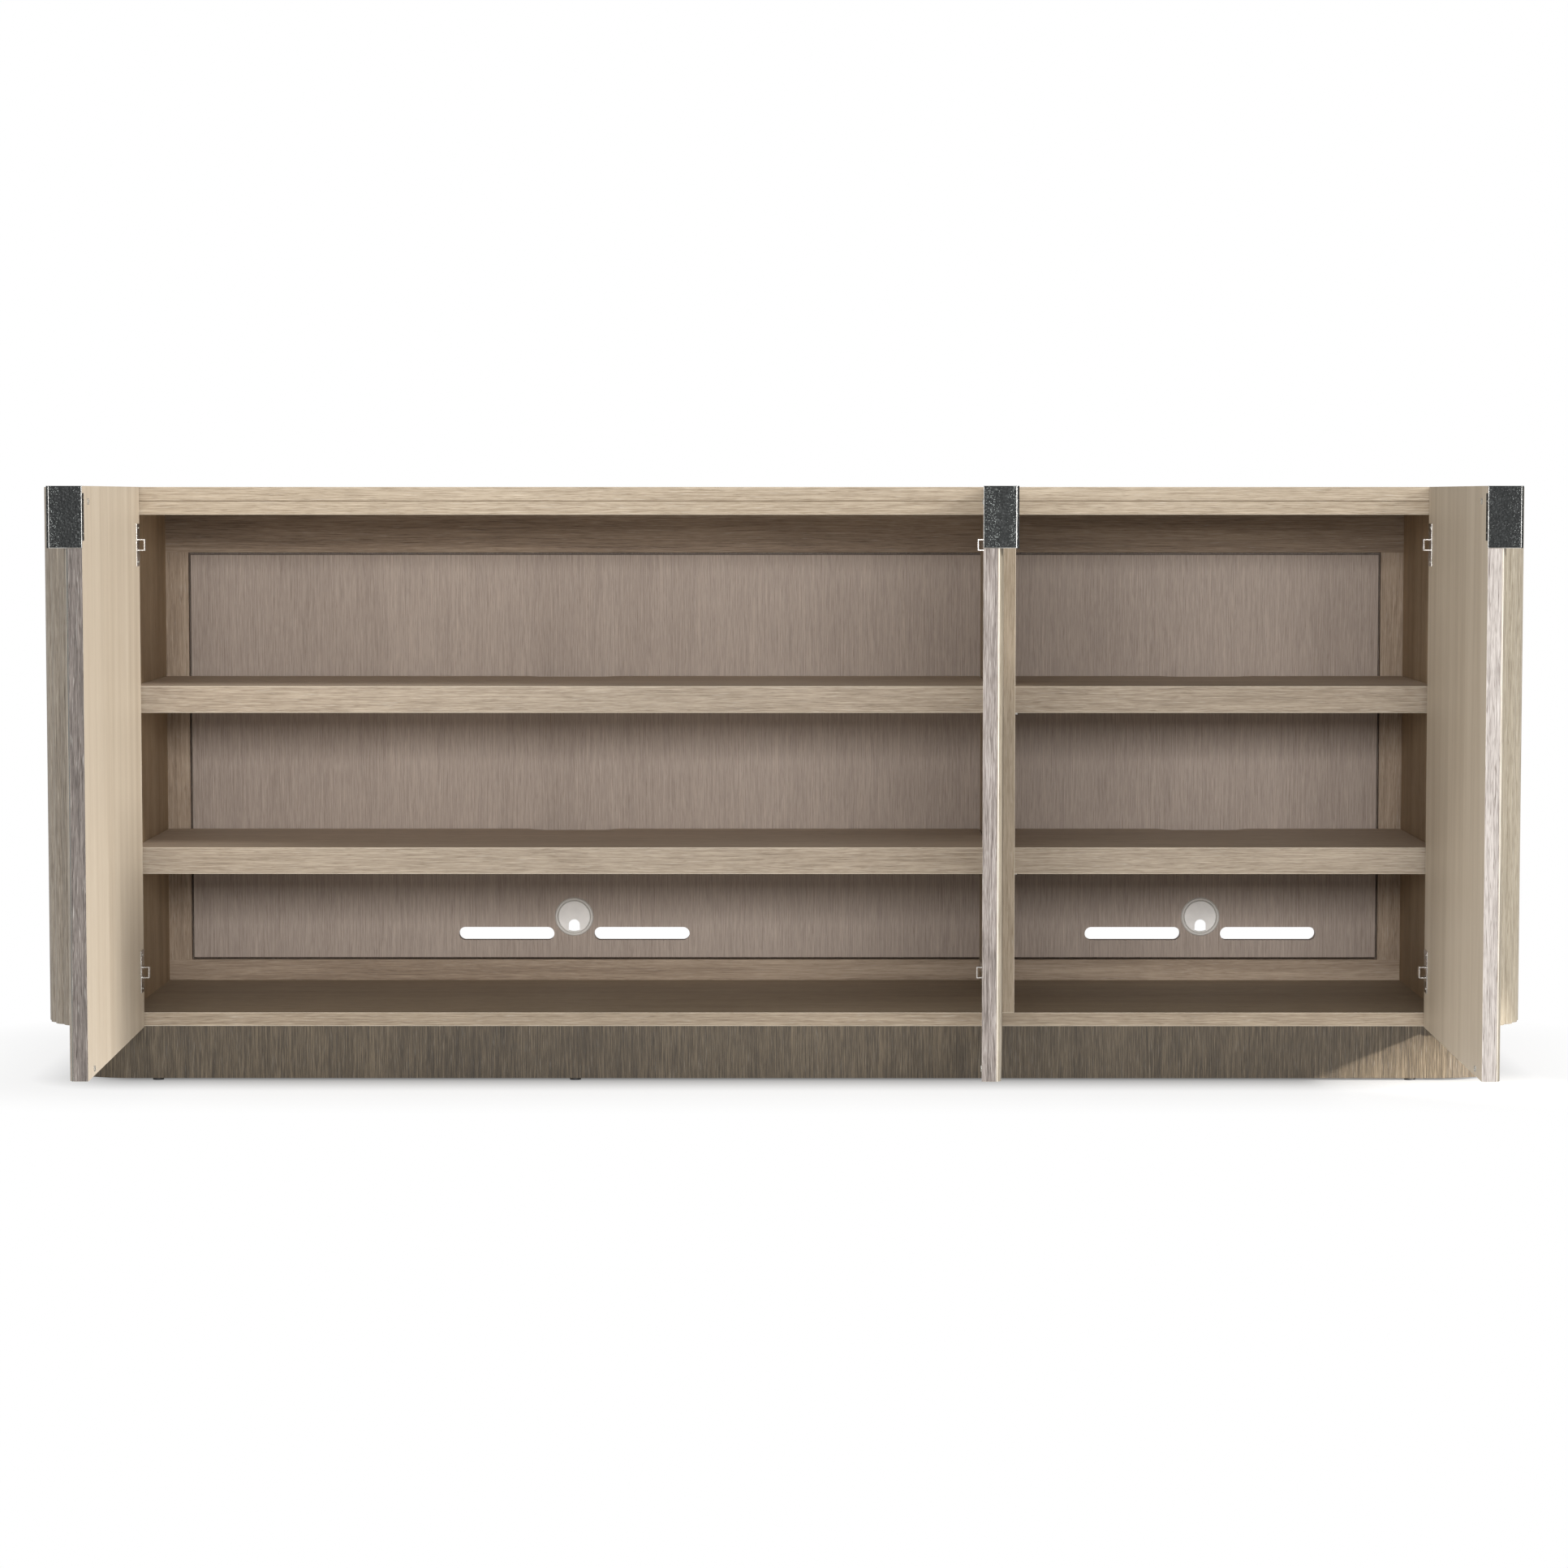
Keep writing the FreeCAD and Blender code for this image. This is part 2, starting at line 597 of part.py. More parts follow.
def plinth():
    z = ("foot_height", "plinth_height")
    out = "(panel_half - plinth_inset)"
    radius = "panel_radius - plinth_inset"
    face = "front + plinth_inset"
    piece("plinth_front", block("plinth_front_board", ("-corner_x", "corner_x"),
                                (face, f"{face} + plinth_thick"), z))
    x = (f"-{out} + plinth_thick", f"{out} - plinth_thick")
    piece("plinth_back", block("plinth_back_board", x, ("plinth_rear - plinth_thick", "plinth_rear"), z))
    for side, hand in (("left", 1), ("right", -1)):
        x = span(hand, f"-{out}", f"-{out} + plinth_thick")
        piece(f"plinth_side_{side}", block(f"{side}_plinth_side", x, ("corner_y", "plinth_rear"), z))
        bends = []
        for name, bend in (("outer", radius), ("inner", f"{radius} - plinth_thick")):
            solid = rod(f"{side}_bend_{name}", "Z", (f"-{hand} * corner_x", "corner_y"), z, bend)
            solid.Angle = 90
            solid.Placement.Rotation = FreeCAD.Rotation(FreeCAD.Vector(0, 0, 1), 180 if hand > 0 else 270)
            bends.append(solid)
        piece(f"plinth_corner_{side}", cut(f"{side}_bend", bends[0], bends[1:]))
    rails = []
    y = (f"{face} + plinth_thick", "plinth_rear - plinth_thick")
    for number in (-1, 0, 1):
        middle = f"{number} * rail_spread"
        x = (f"{middle} - plinth_thick / 2", f"{middle} + plinth_thick / 2")
        rails.append(block(f"cross_rail_{number + 1}", x, y, z))
    piece("plinth_cross_rails", group("cross_rails", rails))

    spots = [("0", "0")]
    for y in (f"{face} + plinth_thick / 2", "plinth_rear - plinth_thick / 2"):
        spots += [(f"{number} * foot_spread", y) for number in (-1.5, -0.5, 0.5, 1.5)]
    feet = []
    for number, spot in enumerate(spots):
        feet.append(rod(f"foot_{number}", "Z", spot, ("0", "foot_height"), "foot_radius"))
    piece("feet", group("foot_group", feet))


# ---- Shelves --------------------------------------------------------------------------------------

COMPARTMENTS = {
    "left": ("-inner_half", "divider_left"),
    "right": ("divider_right", "inner_half"),
}


def shelf(label, left, right, surface):
    """A shelf with a shallow cable relief in the middle of its back edge."""
    x0 = f"{left} + shelf_side_gap"
    x1 = f"{right} - shelf_side_gap"
    middle = f"({left} + {right}) / 2"
    floor = "shelf_rear - relief_depth"
    relief = [
        (f"{middle} + relief_width / 2", "shelf_rear"),
        (f"{middle} + relief_floor / 2", floor),
        (f"{middle} - relief_floor / 2", floor),
        (f"{middle} - relief_width / 2", "shelf_rear"),
    ]
    corners = [(x0, "shelf_front"), (x1, "shelf_front"), (x1, "shelf_rear"), *relief, (x0, "shelf_rear")]
    body = slab(label + "_body", corners, f"{surface} - shelf_thick", surface)
    round_edges(body, "relief_round", relief)
    piece(label, body)


def shelves():
    for side, (left, right) in COMPARTMENTS.items():
        for level in ("upper", "lower"):
            shelf(f"shelf_{level}_{side}", left, right, f"{level}_shelf")
    pins = []
    for side, (left, right) in COMPARTMENTS.items():
        for face in (left, right):
            for spot in peg_spots():
                ends = (f"{face} - peg_reach", f"{face} + peg_reach")
                pins.append(rod(f"shelf_pin_{len(pins)}", "X", spot, ends, "peg_radius"))
    piece("shelf_pins", group("pins", pins))


# ---- Cable grommets -------------------------------------------------------------------------------

def grommets():
    """A flanged ring in each grommet hole, with a cap that turns in it."""
    profile = [
        ("sleeve_bore", "bevel_deep - ring_proud"),
        ("sleeve_bore + bevel_wide", "-ring_proud"),
        ("ring_radius - bevel_wide", "-ring_proud"),
        ("ring_radius", "bevel_deep - ring_proud"),
        ("ring_radius", "0"),
        ("sleeve_radius", "0"),
        ("sleeve_radius", "back_thick"),
        ("sleeve_bore", "back_thick"),
        ("sleeve_bore", "ledge_start + ledge_thick"),
        ("ledge_bore", "ledge_start + ledge_thick"),
        ("ledge_bore", "ledge_start"),
        ("sleeve_bore", "ledge_start"),
    ]
    rings = []
    for side in ("left", "right"):
        body = new_body(f"{side}_ring")
        sketch = outline(body, f"{side}_ring_profile", profile)
        turned = body.newObject("PartDesign::Revolution", f"{side}_ring_turned")
        turned.Profile = sketch
        turned.ReferenceAxis = (sketch, ["V_Axis"])
        turned.Angle = 360
        put(body, f"{side}_port_x", "back_face", "port_z")
        rings.append(body)
    piece("grommet_rings", group("rings", rings))
    for side in ("left", "right"):
        rear = "ledge_start - joint_clear"
        y = (f"{rear} - cap_thick", rear)
        disc = rod(f"{side}_cap_disc", "Y", ("0", "0"), y, "cap_radius")
        half = "notch_width / 2"
        through = (f"{y[0]} - overcut", f"{y[1]} + overcut")
        centre = f"-notch_start - {half}"
        notch = block(f"{side}_cap_notch", (f"-{half}", half), through, ("-cap_radius - overcut", centre))
        end = rod(f"{side}_cap_notch_end", "Y", ("0", centre), through, half)
        cap = cut(f"{side}_cap", disc, [notch, end])
        put(cap, f"{side}_port_x", "back_face", "port_z")
        piece(f"grommet_cap_{side}", cap)


# ---- Doors ----------------------------------------------------------------------------------------
# A door's own frame has its hinge axis at x = y = 0, the hinge edge at -door_half and the free edge
# at free_edge (both mirrored when hand is -1), its inner face at y = door_half and z from the floor.

DOORS = {
    "left": (1, "-outer_hinge_x"),
    "middle": (-1, "middle_hinge_x"),
    "right": (-1, "outer_hinge_x"),
}


def hang(label, door, thing):
    """Put a piece on its door: on the hinge axis, turned open."""
    hand, x = DOORS[door]
    thing.Placement = FreeCAD.Placement(FreeCAD.Vector(), FreeCAD.Rotation(FreeCAD.Vector(0, 0, 1), 1))
    bind(thing, "Placement.Rotation.Angle", f"{-hand} * {door}_open")
    put(thing, x, "hinge_y")
    piece(label, thing)


def cup_screw_spots(hand):
    """Screws in the hinge flanges: (x, z) formulas in the door's frame."""
    x = f"{hand} * (cup_x + flange_wide / 2 - head_radius)"
    return [(x, f"{hinge} + {side} * flange_tall * 0.4") for hinge in HINGES for side in (-1, 1)]


def tab_screw_spots(hand):
    """Screws in the pull's fixing tab: (x, z) formulas in the door's frame."""
    x = f"{hand} * (free_edge - tab_wide / 2 - pull_plate)"
    middle = "(case_height - pull_tall / 2)"
    return [(x, f"{middle} + {side} * tab_tall / 3") for side in (-1, 1)]


def pull_recess(name, hand):
    """The room that a pull takes in its door: over the free edge, and its tab on the inner face."""
    c = "recess_clear"
    edge = block(
        f"{name}_recess_edge",
        span(hand, f"free_edge - pull_plate - {c}", "free_edge + overcut"),
        ("-door_half - overcut", "door_half + overcut"),
        (f"pull_low - {c}", "case_height + overcut"),
    )
    tab = block(
        f"{name}_recess_tab",
        span(hand, f"free_edge - tab_wide - {c}", "free_edge + overcut"),
        (f"door_half - pull_plate - {c}", "door_half + overcut"),
        (f"tab_low - {c}", f"tab_high + {c}"),
    )
    return [edge, tab]


def door_panel(door):
    hand = DOORS[door][0]
    inside = "door_half"
    a, b = span(hand, "-door_half", "free_edge")
    corners = [(a, "facing_back"), (b, "facing_back"), (b, inside), (a, inside)]
    body = slab(f"{door}_panel_body", corners, "plinth_height", "case_height")
    edge = a if hand > 0 else b
    round_edges(body, "door_half - (face_gap - swing_clear) / (sqrt(2) - 1)", [(edge, inside)])
    tools = pull_recess(f"{door}_panel", hand)
    for hinge in HINGES:
        name = f"{door}_{hinge}"
        across = (f"{hand} * cup_x", hinge)
        tools.append(rod(name + "_cup_bore", "Y", across, ("cup_floor", "door_half + overcut"), "cup_radius"))
        channel = span(hand, "-door_half - overcut", "cup_x")
        z = (f"{hinge} - arm_tall / 2 - arm_clear", f"{hinge} + arm_tall / 2 + arm_clear")
        tools.append(block(name + "_mortise", channel, ("-eye_radius - arm_clear", "door_half + overcut"), z))
    for number, (x, z) in enumerate(cup_screw_spots(hand) + tab_screw_spots(hand)):
        ends = ("door_half - screw_long - tip_clear", "door_half + overcut")
        tools.append(rod(f"{door}_panel_hole_{number}", "Y", (x, z), ends, "screw_radius + peg_clear"))
    hang(f"door_{door}_panel", door, cut(f"{door}_panel_cut", body, tools))


def door_facing(door):
    """The reeded facing, with room for the pull's leg over the free edge."""
    hand = DOORS[door][0]
    pitch = "((door_width - 2 * reed_inset) / door_reeds)"
    start = f"{hand} * (reed_inset - door_half)"
    valley = "facing_back - reed_base"
    body = reed_rows(f"{door}_facing", start, "facing_back", valley, pitch, "door_reeds", hand < 0)
    put(body, z="plinth_height")
    facing = cut(f"{door}_facing_cut", body, pull_recess(f"{door}_facing", hand)[:1])
    hang(f"door_{door}_facing", door, facing)


def door_pull(door):
    """A bent plate: a tab on the inner face, a leg over the free edge and a leg in front."""
    hand = DOORS[door][0]
    proud = "-door_half - pull_proud"
    t = "pull_plate"
    shape = [
        ("free_edge - pull_front", proud),
        ("free_edge", proud),
        ("free_edge", "door_half"),
        ("free_edge - tab_wide", "door_half"),
        ("free_edge - tab_wide", f"door_half - {t}"),
        (f"free_edge - {t}", f"door_half - {t}"),
        (f"free_edge - {t}", f"{proud} + {t}"),
        ("free_edge - pull_front", f"{proud} + {t}"),
    ]
    corners = [(f"{hand} * ({x})", y) for x, y in shape]
    body = slab(f"{door}_pull_body", corners, "pull_low", "case_height")
    round_edges(body, "pull_bend", [corners[1]])
    round_edges(body, "pull_bend - pull_plate", [corners[6]])
    x = span(hand, "free_edge - tab_wide - overcut", f"free_edge - {t}")
    y = (f"door_half - {t} - overcut", "door_half + overcut")
    tools = [
        block(f"{door}_tab_foot", x, y, ("pull_low - overcut", "tab_low")),
        block(f"{door}_tab_head", x, y, ("tab_high", "case_height + overcut")),
    ]
    for number, spot in enumerate(tab_screw_spots(hand)):
        name = f"{door}_tab_hole_{number}"
        tools.append(rod(name, "Y", spot, y, "screw_radius + peg_clear"))
        sunk = ("door_half - head_thick", "door_half + overcut")
        tools.append(rod(name + "_sunk", "Y", spot, sunk, "head_radius + peg_clear"))
    hang(f"door_{door}_pull", door, cut(f"{door}_pull_cut", body, tools))


def door_screws(door):
    """Screws of the hinge flanges and of the pull; the pull's heads lie flush."""
    hand = DOORS[door][0]
    heads = [(spot, "door_half + flange_thick") for spot in cup_screw_spots(hand)]
    heads += [(spot, "door_half - head_thick") for spot in tab_screw_spots(hand)]
    screws = []
    for number, (spot, seat) in enumerate(heads):
        name = f"{door}_screw_{number}"
        shank = rod(name + "_shank", "Y", spot, ("door_half - screw_long", seat), "screw_radius")
        head = rod(name + "_head", "Y", spot, (seat, f"{seat} + head_thick"), "head_radius")
        screws.append(join(name, [shank, head]))
    hang(f"door_{door}_screws", door, group(f"{door}_screw_group", screws))


def hinge_cups(door):
    hand = DOORS[door][0]
    cups = []
    for hinge in HINGES:
        name = f"{door}_{hinge}"
        start = "cup_x - cup_radius / 2"
        end = f"{start} + flange_wide"
        flange = block(
            name + "_flange",
            span(hand, start, end),
            ("door_half", "door_half + flange_thick"),
            (f"{hinge} - flange_tall / 2", f"{hinge} + flange_tall / 2"),
        )
        across = (f"{hand} * cup_x", hinge)
        radius = "cup_radius - joint_clear / 2"
        bowl = rod(name + "_bowl", "Y", across, ("cup_floor", "door_half"), radius)
        hood_x = span(hand, f"{end} - hood_wide", end)
        hood_y = ("door_half", "door_half + hood_rise")
        hood_z = (f"{hinge} - hood_tall / 2", f"{hinge} + hood_tall / 2")
        hood = block(name + "_hood", hood_x, hood_y, hood_z)
        hollow = block(
            name + "_hood_hollow",
            span(hand, f"{end} - hood_wide - overcut", f"{end} + overcut"),
            ("door_half + flange_thick", f"{hood_y[1]} - hood_thick"),
            (f"{hood_z[0]} + hood_thick", f"{hood_z[1]} - hood_thick"),
        )
        channel = block(
            name + "_channel",
            span(hand, "-door_half - overcut", "cup_x + cup_radius / 3"),
            ("-eye_radius - arm_clear", "door_half + flange_thick + overcut"),
            (f"{hinge} - arm_tall / 2 - arm_clear", f"{hinge} + arm_tall / 2 + arm_clear"),
        )
        eye = rod(name + "_pin_hole", "Z", ("0", "0"),
                  (f"{hinge} - pin_long / 2", f"{hinge} + pin_long / 2"), "pin_radius")
        tools = [hollow, channel, eye]
        for number, (x, z) in enumerate(cup_screw_spots(hand)):
            ends = ("door_half - overcut", "door_half + flange_thick + overcut")
            tools.append(rod(f"{name}_hole_{number}", "Y", (x, z), ends, "screw_radius + peg_clear"))
        cups.append(cut(name + "_cup", join(name + "_blank", [flange, bowl, hood]), tools))
    hang(f"door_{door}_hinge_cups", door, group(f"{door}_cups", cups))


def hinge_pins(door):
    pins = []
    for hinge in HINGES:
        ends = (f"{hinge} - pin_long / 2", f"{hinge} + pin_long / 2")
        pins.append(rod(f"{door}_{hinge}_pin", "Z", ("0", "0"), ends, "pin_radius"))
    hang(f"door_{door}_hinge_pins", door, group(f"{door}_pins", pins))


def door_bumpers(door):
    hand = DOORS[door][0]
    x = f"{hand} * (free_edge - bumper_inset)"
    heights = ("plinth_height + bottom_thick / 2", "case_height - top_thick")
    ends = ("door_half", "door_half + bumper_thick")
    bumpers = [rod(f"{door}_bumper_{number}", "Y", (x, z), ends, "bumper_radius")
               for number, z in enumerate(heights)]
    hang(f"door_{door}_bumpers", door, group(f"{door}_bumper_group", bumpers))


# ---- Hinge arms and plates on the case ------------------------------------------------------------
# These stand in the same frame as the doors, but do not turn with them. A side door's plate is on the
# wall in line with the door's hinge edge; the middle door's plate is on the divider, so its arm cranks.

def fix(thing, door):
    hand, x = DOORS[door]
    put(thing, x, "hinge_y")
    return thing


def wall_face(door):
    """Where the wall that carries a door's hinges stands in the door's frame."""
    return "middle_plate" if door == "middle" else "-door_half"


def hinge_arm(door, hinge):
    hand = DOORS[door][0]
    name = f"{door}_{hinge}_arm"
    z = (f"{hinge} - arm_tall / 2", f"{hinge} + arm_tall / 2")
    near = f"{wall_face(door)} + plate_rise"
    far = f"{near} + 2 * arm_half"
    bend = "door_half + face_gap + arm_half"
    corners = [
        ("-arm_half", "0"),
        ("arm_half", "0"),
        (far, bend),
        (far, "arm_end"),
        (near, "arm_end"),
        (near, f"{bend} + arm_half"),
    ]
    body = slab(name + "_body", [(f"{hand} * ({x})", y) for x, y in corners], *z)
    eye = rod(name + "_eye", "Z", ("0", "0"), z, "eye_radius")
    through = (f"{z[0]} - overcut", f"{z[1]} + overcut")
    bore = rod(name + "_bore", "Z", ("0", "0"), through, "pin_radius + pin_fit")
    return cut(name, join(name + "_blank", [body, eye]), [bore])


def hinge_plate(door, hinge):
    hand = DOORS[door][0]
    name = f"{door}_{hinge}_plate"
    face = wall_face(door)
    y = ("door_half + face_gap + plate_start", "arm_end")
    base = block(name + "_base", span(hand, face, f"{face} + plate_base"), y,
                 (f"{hinge} - plate_tall / 2", f"{hinge} + plate_tall / 2"))
    riser = block(name + "_riser", span(hand, face, f"{face} + plate_rise"), y,
                  (f"{hinge} - arm_tall / 2", f"{hinge} + arm_tall / 2"))
    holes = []
    middle = "door_half + face_gap + plate_start + plate_deep / 2"
    for number, side in enumerate((-1, 1)):
        spot = (middle, f"{hinge} + {side} * plate_tall / 3")
        ends = span(hand, f"{face} - overcut", f"{face} + plate_base + overcut")
        holes.append(rod(f"{name}_hole_{number}", "X", spot, ends, "screw_radius + peg_clear"))
    return cut(name, join(name + "_blank", [base, riser]), holes)


def case_hinges():
    arms, plates, screws = [], [], []
    for door, (hand, hinge_x) in DOORS.items():
        face = wall_face(door)
        for hinge in HINGES:
            arms.append(fix(hinge_arm(door, hinge), door))
            plates.append(fix(hinge_plate(door, hinge), door))
            for side in (-1, 1):
                name = f"{door}_{hinge}_plate_screw_{side + 1}"
                y = "door_half + face_gap + plate_start + plate_deep / 2"
                spot = (y, f"{hinge} + {side} * plate_tall / 3")
                seat = f"{face} + plate_base"
                shank = rod(name + "_shank", "X", spot, span(hand, f"{face} - screw_long", seat),
                            "screw_radius")
                head = rod(name + "_head", "X", spot, span(hand, seat, f"{seat} + head_thick"),
                           "head_radius")
                screws.append(fix(join(name, [shank, head]), door))
    piece("hinge_arms", group("arm_group", arms))
    piece("hinge_plates", group("plate_group", plates))
    piece("hinge_plate_screws", group("plate_screw_group", screws))


# ---- Putting it together --------------------------------------------------------------------------

case_panel("top_panel", "case_height - top_thick", "case_height")
case_panel("sub_top", "ceiling", "case_height - top_thick")
case_panel("bottom_panel", "plinth_height", "deck")
walls()
for side, hand in (("left", 1), ("right", -1)):
    fluted_corner(side, hand)
    fluted_side(side, hand)
end_ribs()
back_frame()
back_panel()
plinth()
shelves()
grommets()
case_hinges()
for door in DOORS:
    door_panel(door)
    door_facing(door)
    door_pull(door)
    door_screws(door)
    hinge_cups(door)
    hinge_pins(door)
    door_bumpers(door)

doc.recompute()
failed = [thing.Name for thing in doc.Objects if "Invalid" in thing.State or "Error" in thing.State]
failed += [thing.Label for thing in pieces if thing.Shape.isNull() or not thing.Shape.isValid()]
if failed:
    raise RuntimeError("these did not build: " + ", ".join(failed))

os.makedirs("parts", exist_ok=True)
for thing in pieces:
    thing.Shape.exportStep(f"parts/{thing.Label}.step")
print(f"{len(pieces)} sub-parts written")
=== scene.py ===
"""Media cabinet: lime-washed oak with fluted ends and doors, on a plinth of dark bronzed oak.

Metres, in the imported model's frame: +Z up, the doors towards -Y. Wood, metal and plastic are
procedural materials in object space, so that each keeps its place on its piece as the doors swing.
Boards get real eased edges, and the hinges, pulls and screws get detail of their own.
"""

import json
import math

import bmesh
import bpy
from mathutils import Matrix, Vector

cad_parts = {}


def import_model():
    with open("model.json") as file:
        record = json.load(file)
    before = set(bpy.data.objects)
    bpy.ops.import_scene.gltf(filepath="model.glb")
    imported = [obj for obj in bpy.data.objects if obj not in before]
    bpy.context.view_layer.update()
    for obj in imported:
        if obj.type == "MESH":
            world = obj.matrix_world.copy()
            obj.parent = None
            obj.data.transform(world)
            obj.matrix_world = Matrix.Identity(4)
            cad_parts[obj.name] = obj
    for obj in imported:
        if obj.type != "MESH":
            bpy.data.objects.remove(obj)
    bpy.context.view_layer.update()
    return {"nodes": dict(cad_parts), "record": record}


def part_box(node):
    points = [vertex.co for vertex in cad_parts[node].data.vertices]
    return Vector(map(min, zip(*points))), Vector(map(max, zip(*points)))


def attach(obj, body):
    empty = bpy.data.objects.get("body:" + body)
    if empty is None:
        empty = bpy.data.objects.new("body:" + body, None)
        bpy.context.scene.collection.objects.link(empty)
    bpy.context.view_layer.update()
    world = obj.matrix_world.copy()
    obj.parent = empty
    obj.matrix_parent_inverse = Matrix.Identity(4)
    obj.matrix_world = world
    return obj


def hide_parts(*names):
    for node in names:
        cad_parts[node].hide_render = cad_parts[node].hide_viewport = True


MM = 0.001
WELD = 1e-6
MIDDLE = 0.5  # the mean of a noise, and the share at which a wood shows its middle tone

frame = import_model()
nodes = frame["nodes"]
BODY_OF = {
    node: body
    for body, members in frame["record"]["behaviour"]["bodies"].items()
    for node in members
}
DOORS = ("left", "middle", "right")


# ---- Materials ------------------------------------------------------------------------------------

def tone(red, green, blue):
    """A colour in sRGB levels of 0 to 255, as the linear colour that a node takes."""
    def linear(level):
        share = level / 255
        return share / 12.92 if share <= 0.04045 else ((share + 0.055) / 1.055) ** 2.4
    return (linear(red), linear(green), linear(blue), 1.0)


class Surface:
    """A Principled material under construction, in the piece's own coordinates."""

    def __init__(self, name, roughness, **sockets):
        self.material = bpy.data.materials.new(name)
        self.material.use_nodes = True
        self.tree = self.material.node_tree
        self.shader = self.tree.nodes["Principled BSDF"]
        self.shader.inputs["Roughness"].default_value = roughness
        for socket, value in sockets.items():
            self.shader.inputs[socket.replace("_", " ")].default_value = value
        self.place = self.node("ShaderNodeTexCoord").outputs["Object"]

    def node(self, kind, inputs=None, **settings):
        made = self.tree.nodes.new(kind)
        for key, value in settings.items():
            setattr(made, key, value)
        for socket, value in (inputs or {}).items():
            self.feed(made.inputs[socket], value)
        return made

    def feed(self, socket, value):
        if isinstance(value, bpy.types.NodeSocket):
            self.tree.links.new(value, socket)
        else:
            socket.default_value = value

    def set(self, socket, value):
        self.feed(self.shader.inputs[socket], value)

    def stretched(self, scale, shift=(0, 0, 0), source=None):
        """Coordinates for a pattern, in repeats per metre along each axis."""
        inputs = {"Vector": source or self.place, "Location": shift, "Scale": scale}
        return self.node("ShaderNodeMapping", inputs).outputs["Vector"]

    def noise(self, vector, scale=1, detail=2, roughness=0.5, distortion=0, output="Fac"):
        inputs = {"Vector": vector, "Scale": scale, "Detail": detail, "Roughness": roughness,
                  "Distortion": distortion}
        return self.node("ShaderNodeTexNoise", inputs).outputs[output]

    def math(self, operation, first, second):
        return self.node("ShaderNodeMath", {0: first, 1: second}, operation=operation).outputs[0]

    def vector_math(self, operation, *vectors, output="Vector"):
        inputs = dict(enumerate(vectors))
        return self.node("ShaderNodeVectorMath", inputs, operation=operation).outputs[output]

    def remap(self, value, low, high, to_low=0.0, to_high=1.0):
        inputs = {"Value": value, "From Min": low, "From Max": high,
                  "To Min": to_low, "To Max": to_high}
        return self.node("ShaderNodeMapRange", inputs).outputs["Result"]

    def mix(self, share, first, second, mode="MIX"):
        made = self.node("ShaderNodeMix", {"Factor": share}, data_type="RGBA", blend_type=mode)
        colours = [socket for socket in made.inputs if socket.type == "RGBA"]
        self.feed(colours[0], first)
        self.feed(colours[1], second)
        return next(socket for socket in made.outputs if socket.type == "RGBA")

    def shift_by(self, vector, offset, amount):
        """Push a vector about by a noise colour."""
        centred = self.vector_math("SUBTRACT", offset, (MIDDLE, MIDDLE, MIDDLE))
        return self.vector_math("ADD", vector, self.vector_math("MULTIPLY", centred, amount))

    def bump(self, height, depth):
        inputs = {"Height": height, "Distance": depth, "Strength": 1.0}
        self.set("Normal", self.node("ShaderNodeBump", inputs).outputs["Normal"])


def along(axis, lengthwise, crosswise):
    """Scales that draw a pattern out along the grain's axis."""
    return tuple(lengthwise if letter == axis else crosswise for letter in "XYZ")


# Repeats per metre of each pattern in the wood, along the grain and across it.
GRAIN = {
    "drift": (2.2, 9),
    "rings": (1.1, 26),
    "tint": (0.8, 5),
    "streak": (13, 420),
    "hair": (40, 1100),
    "pores": (55, 700),
    "lime": (40, 760),
}
WANDER = 0.010  # metres that the grain strays to the side
PORE_SHADE = (0.52, 0.47, 0.42, 1)
LIME_WHITE = (1, 0.97, 0.9, 1)


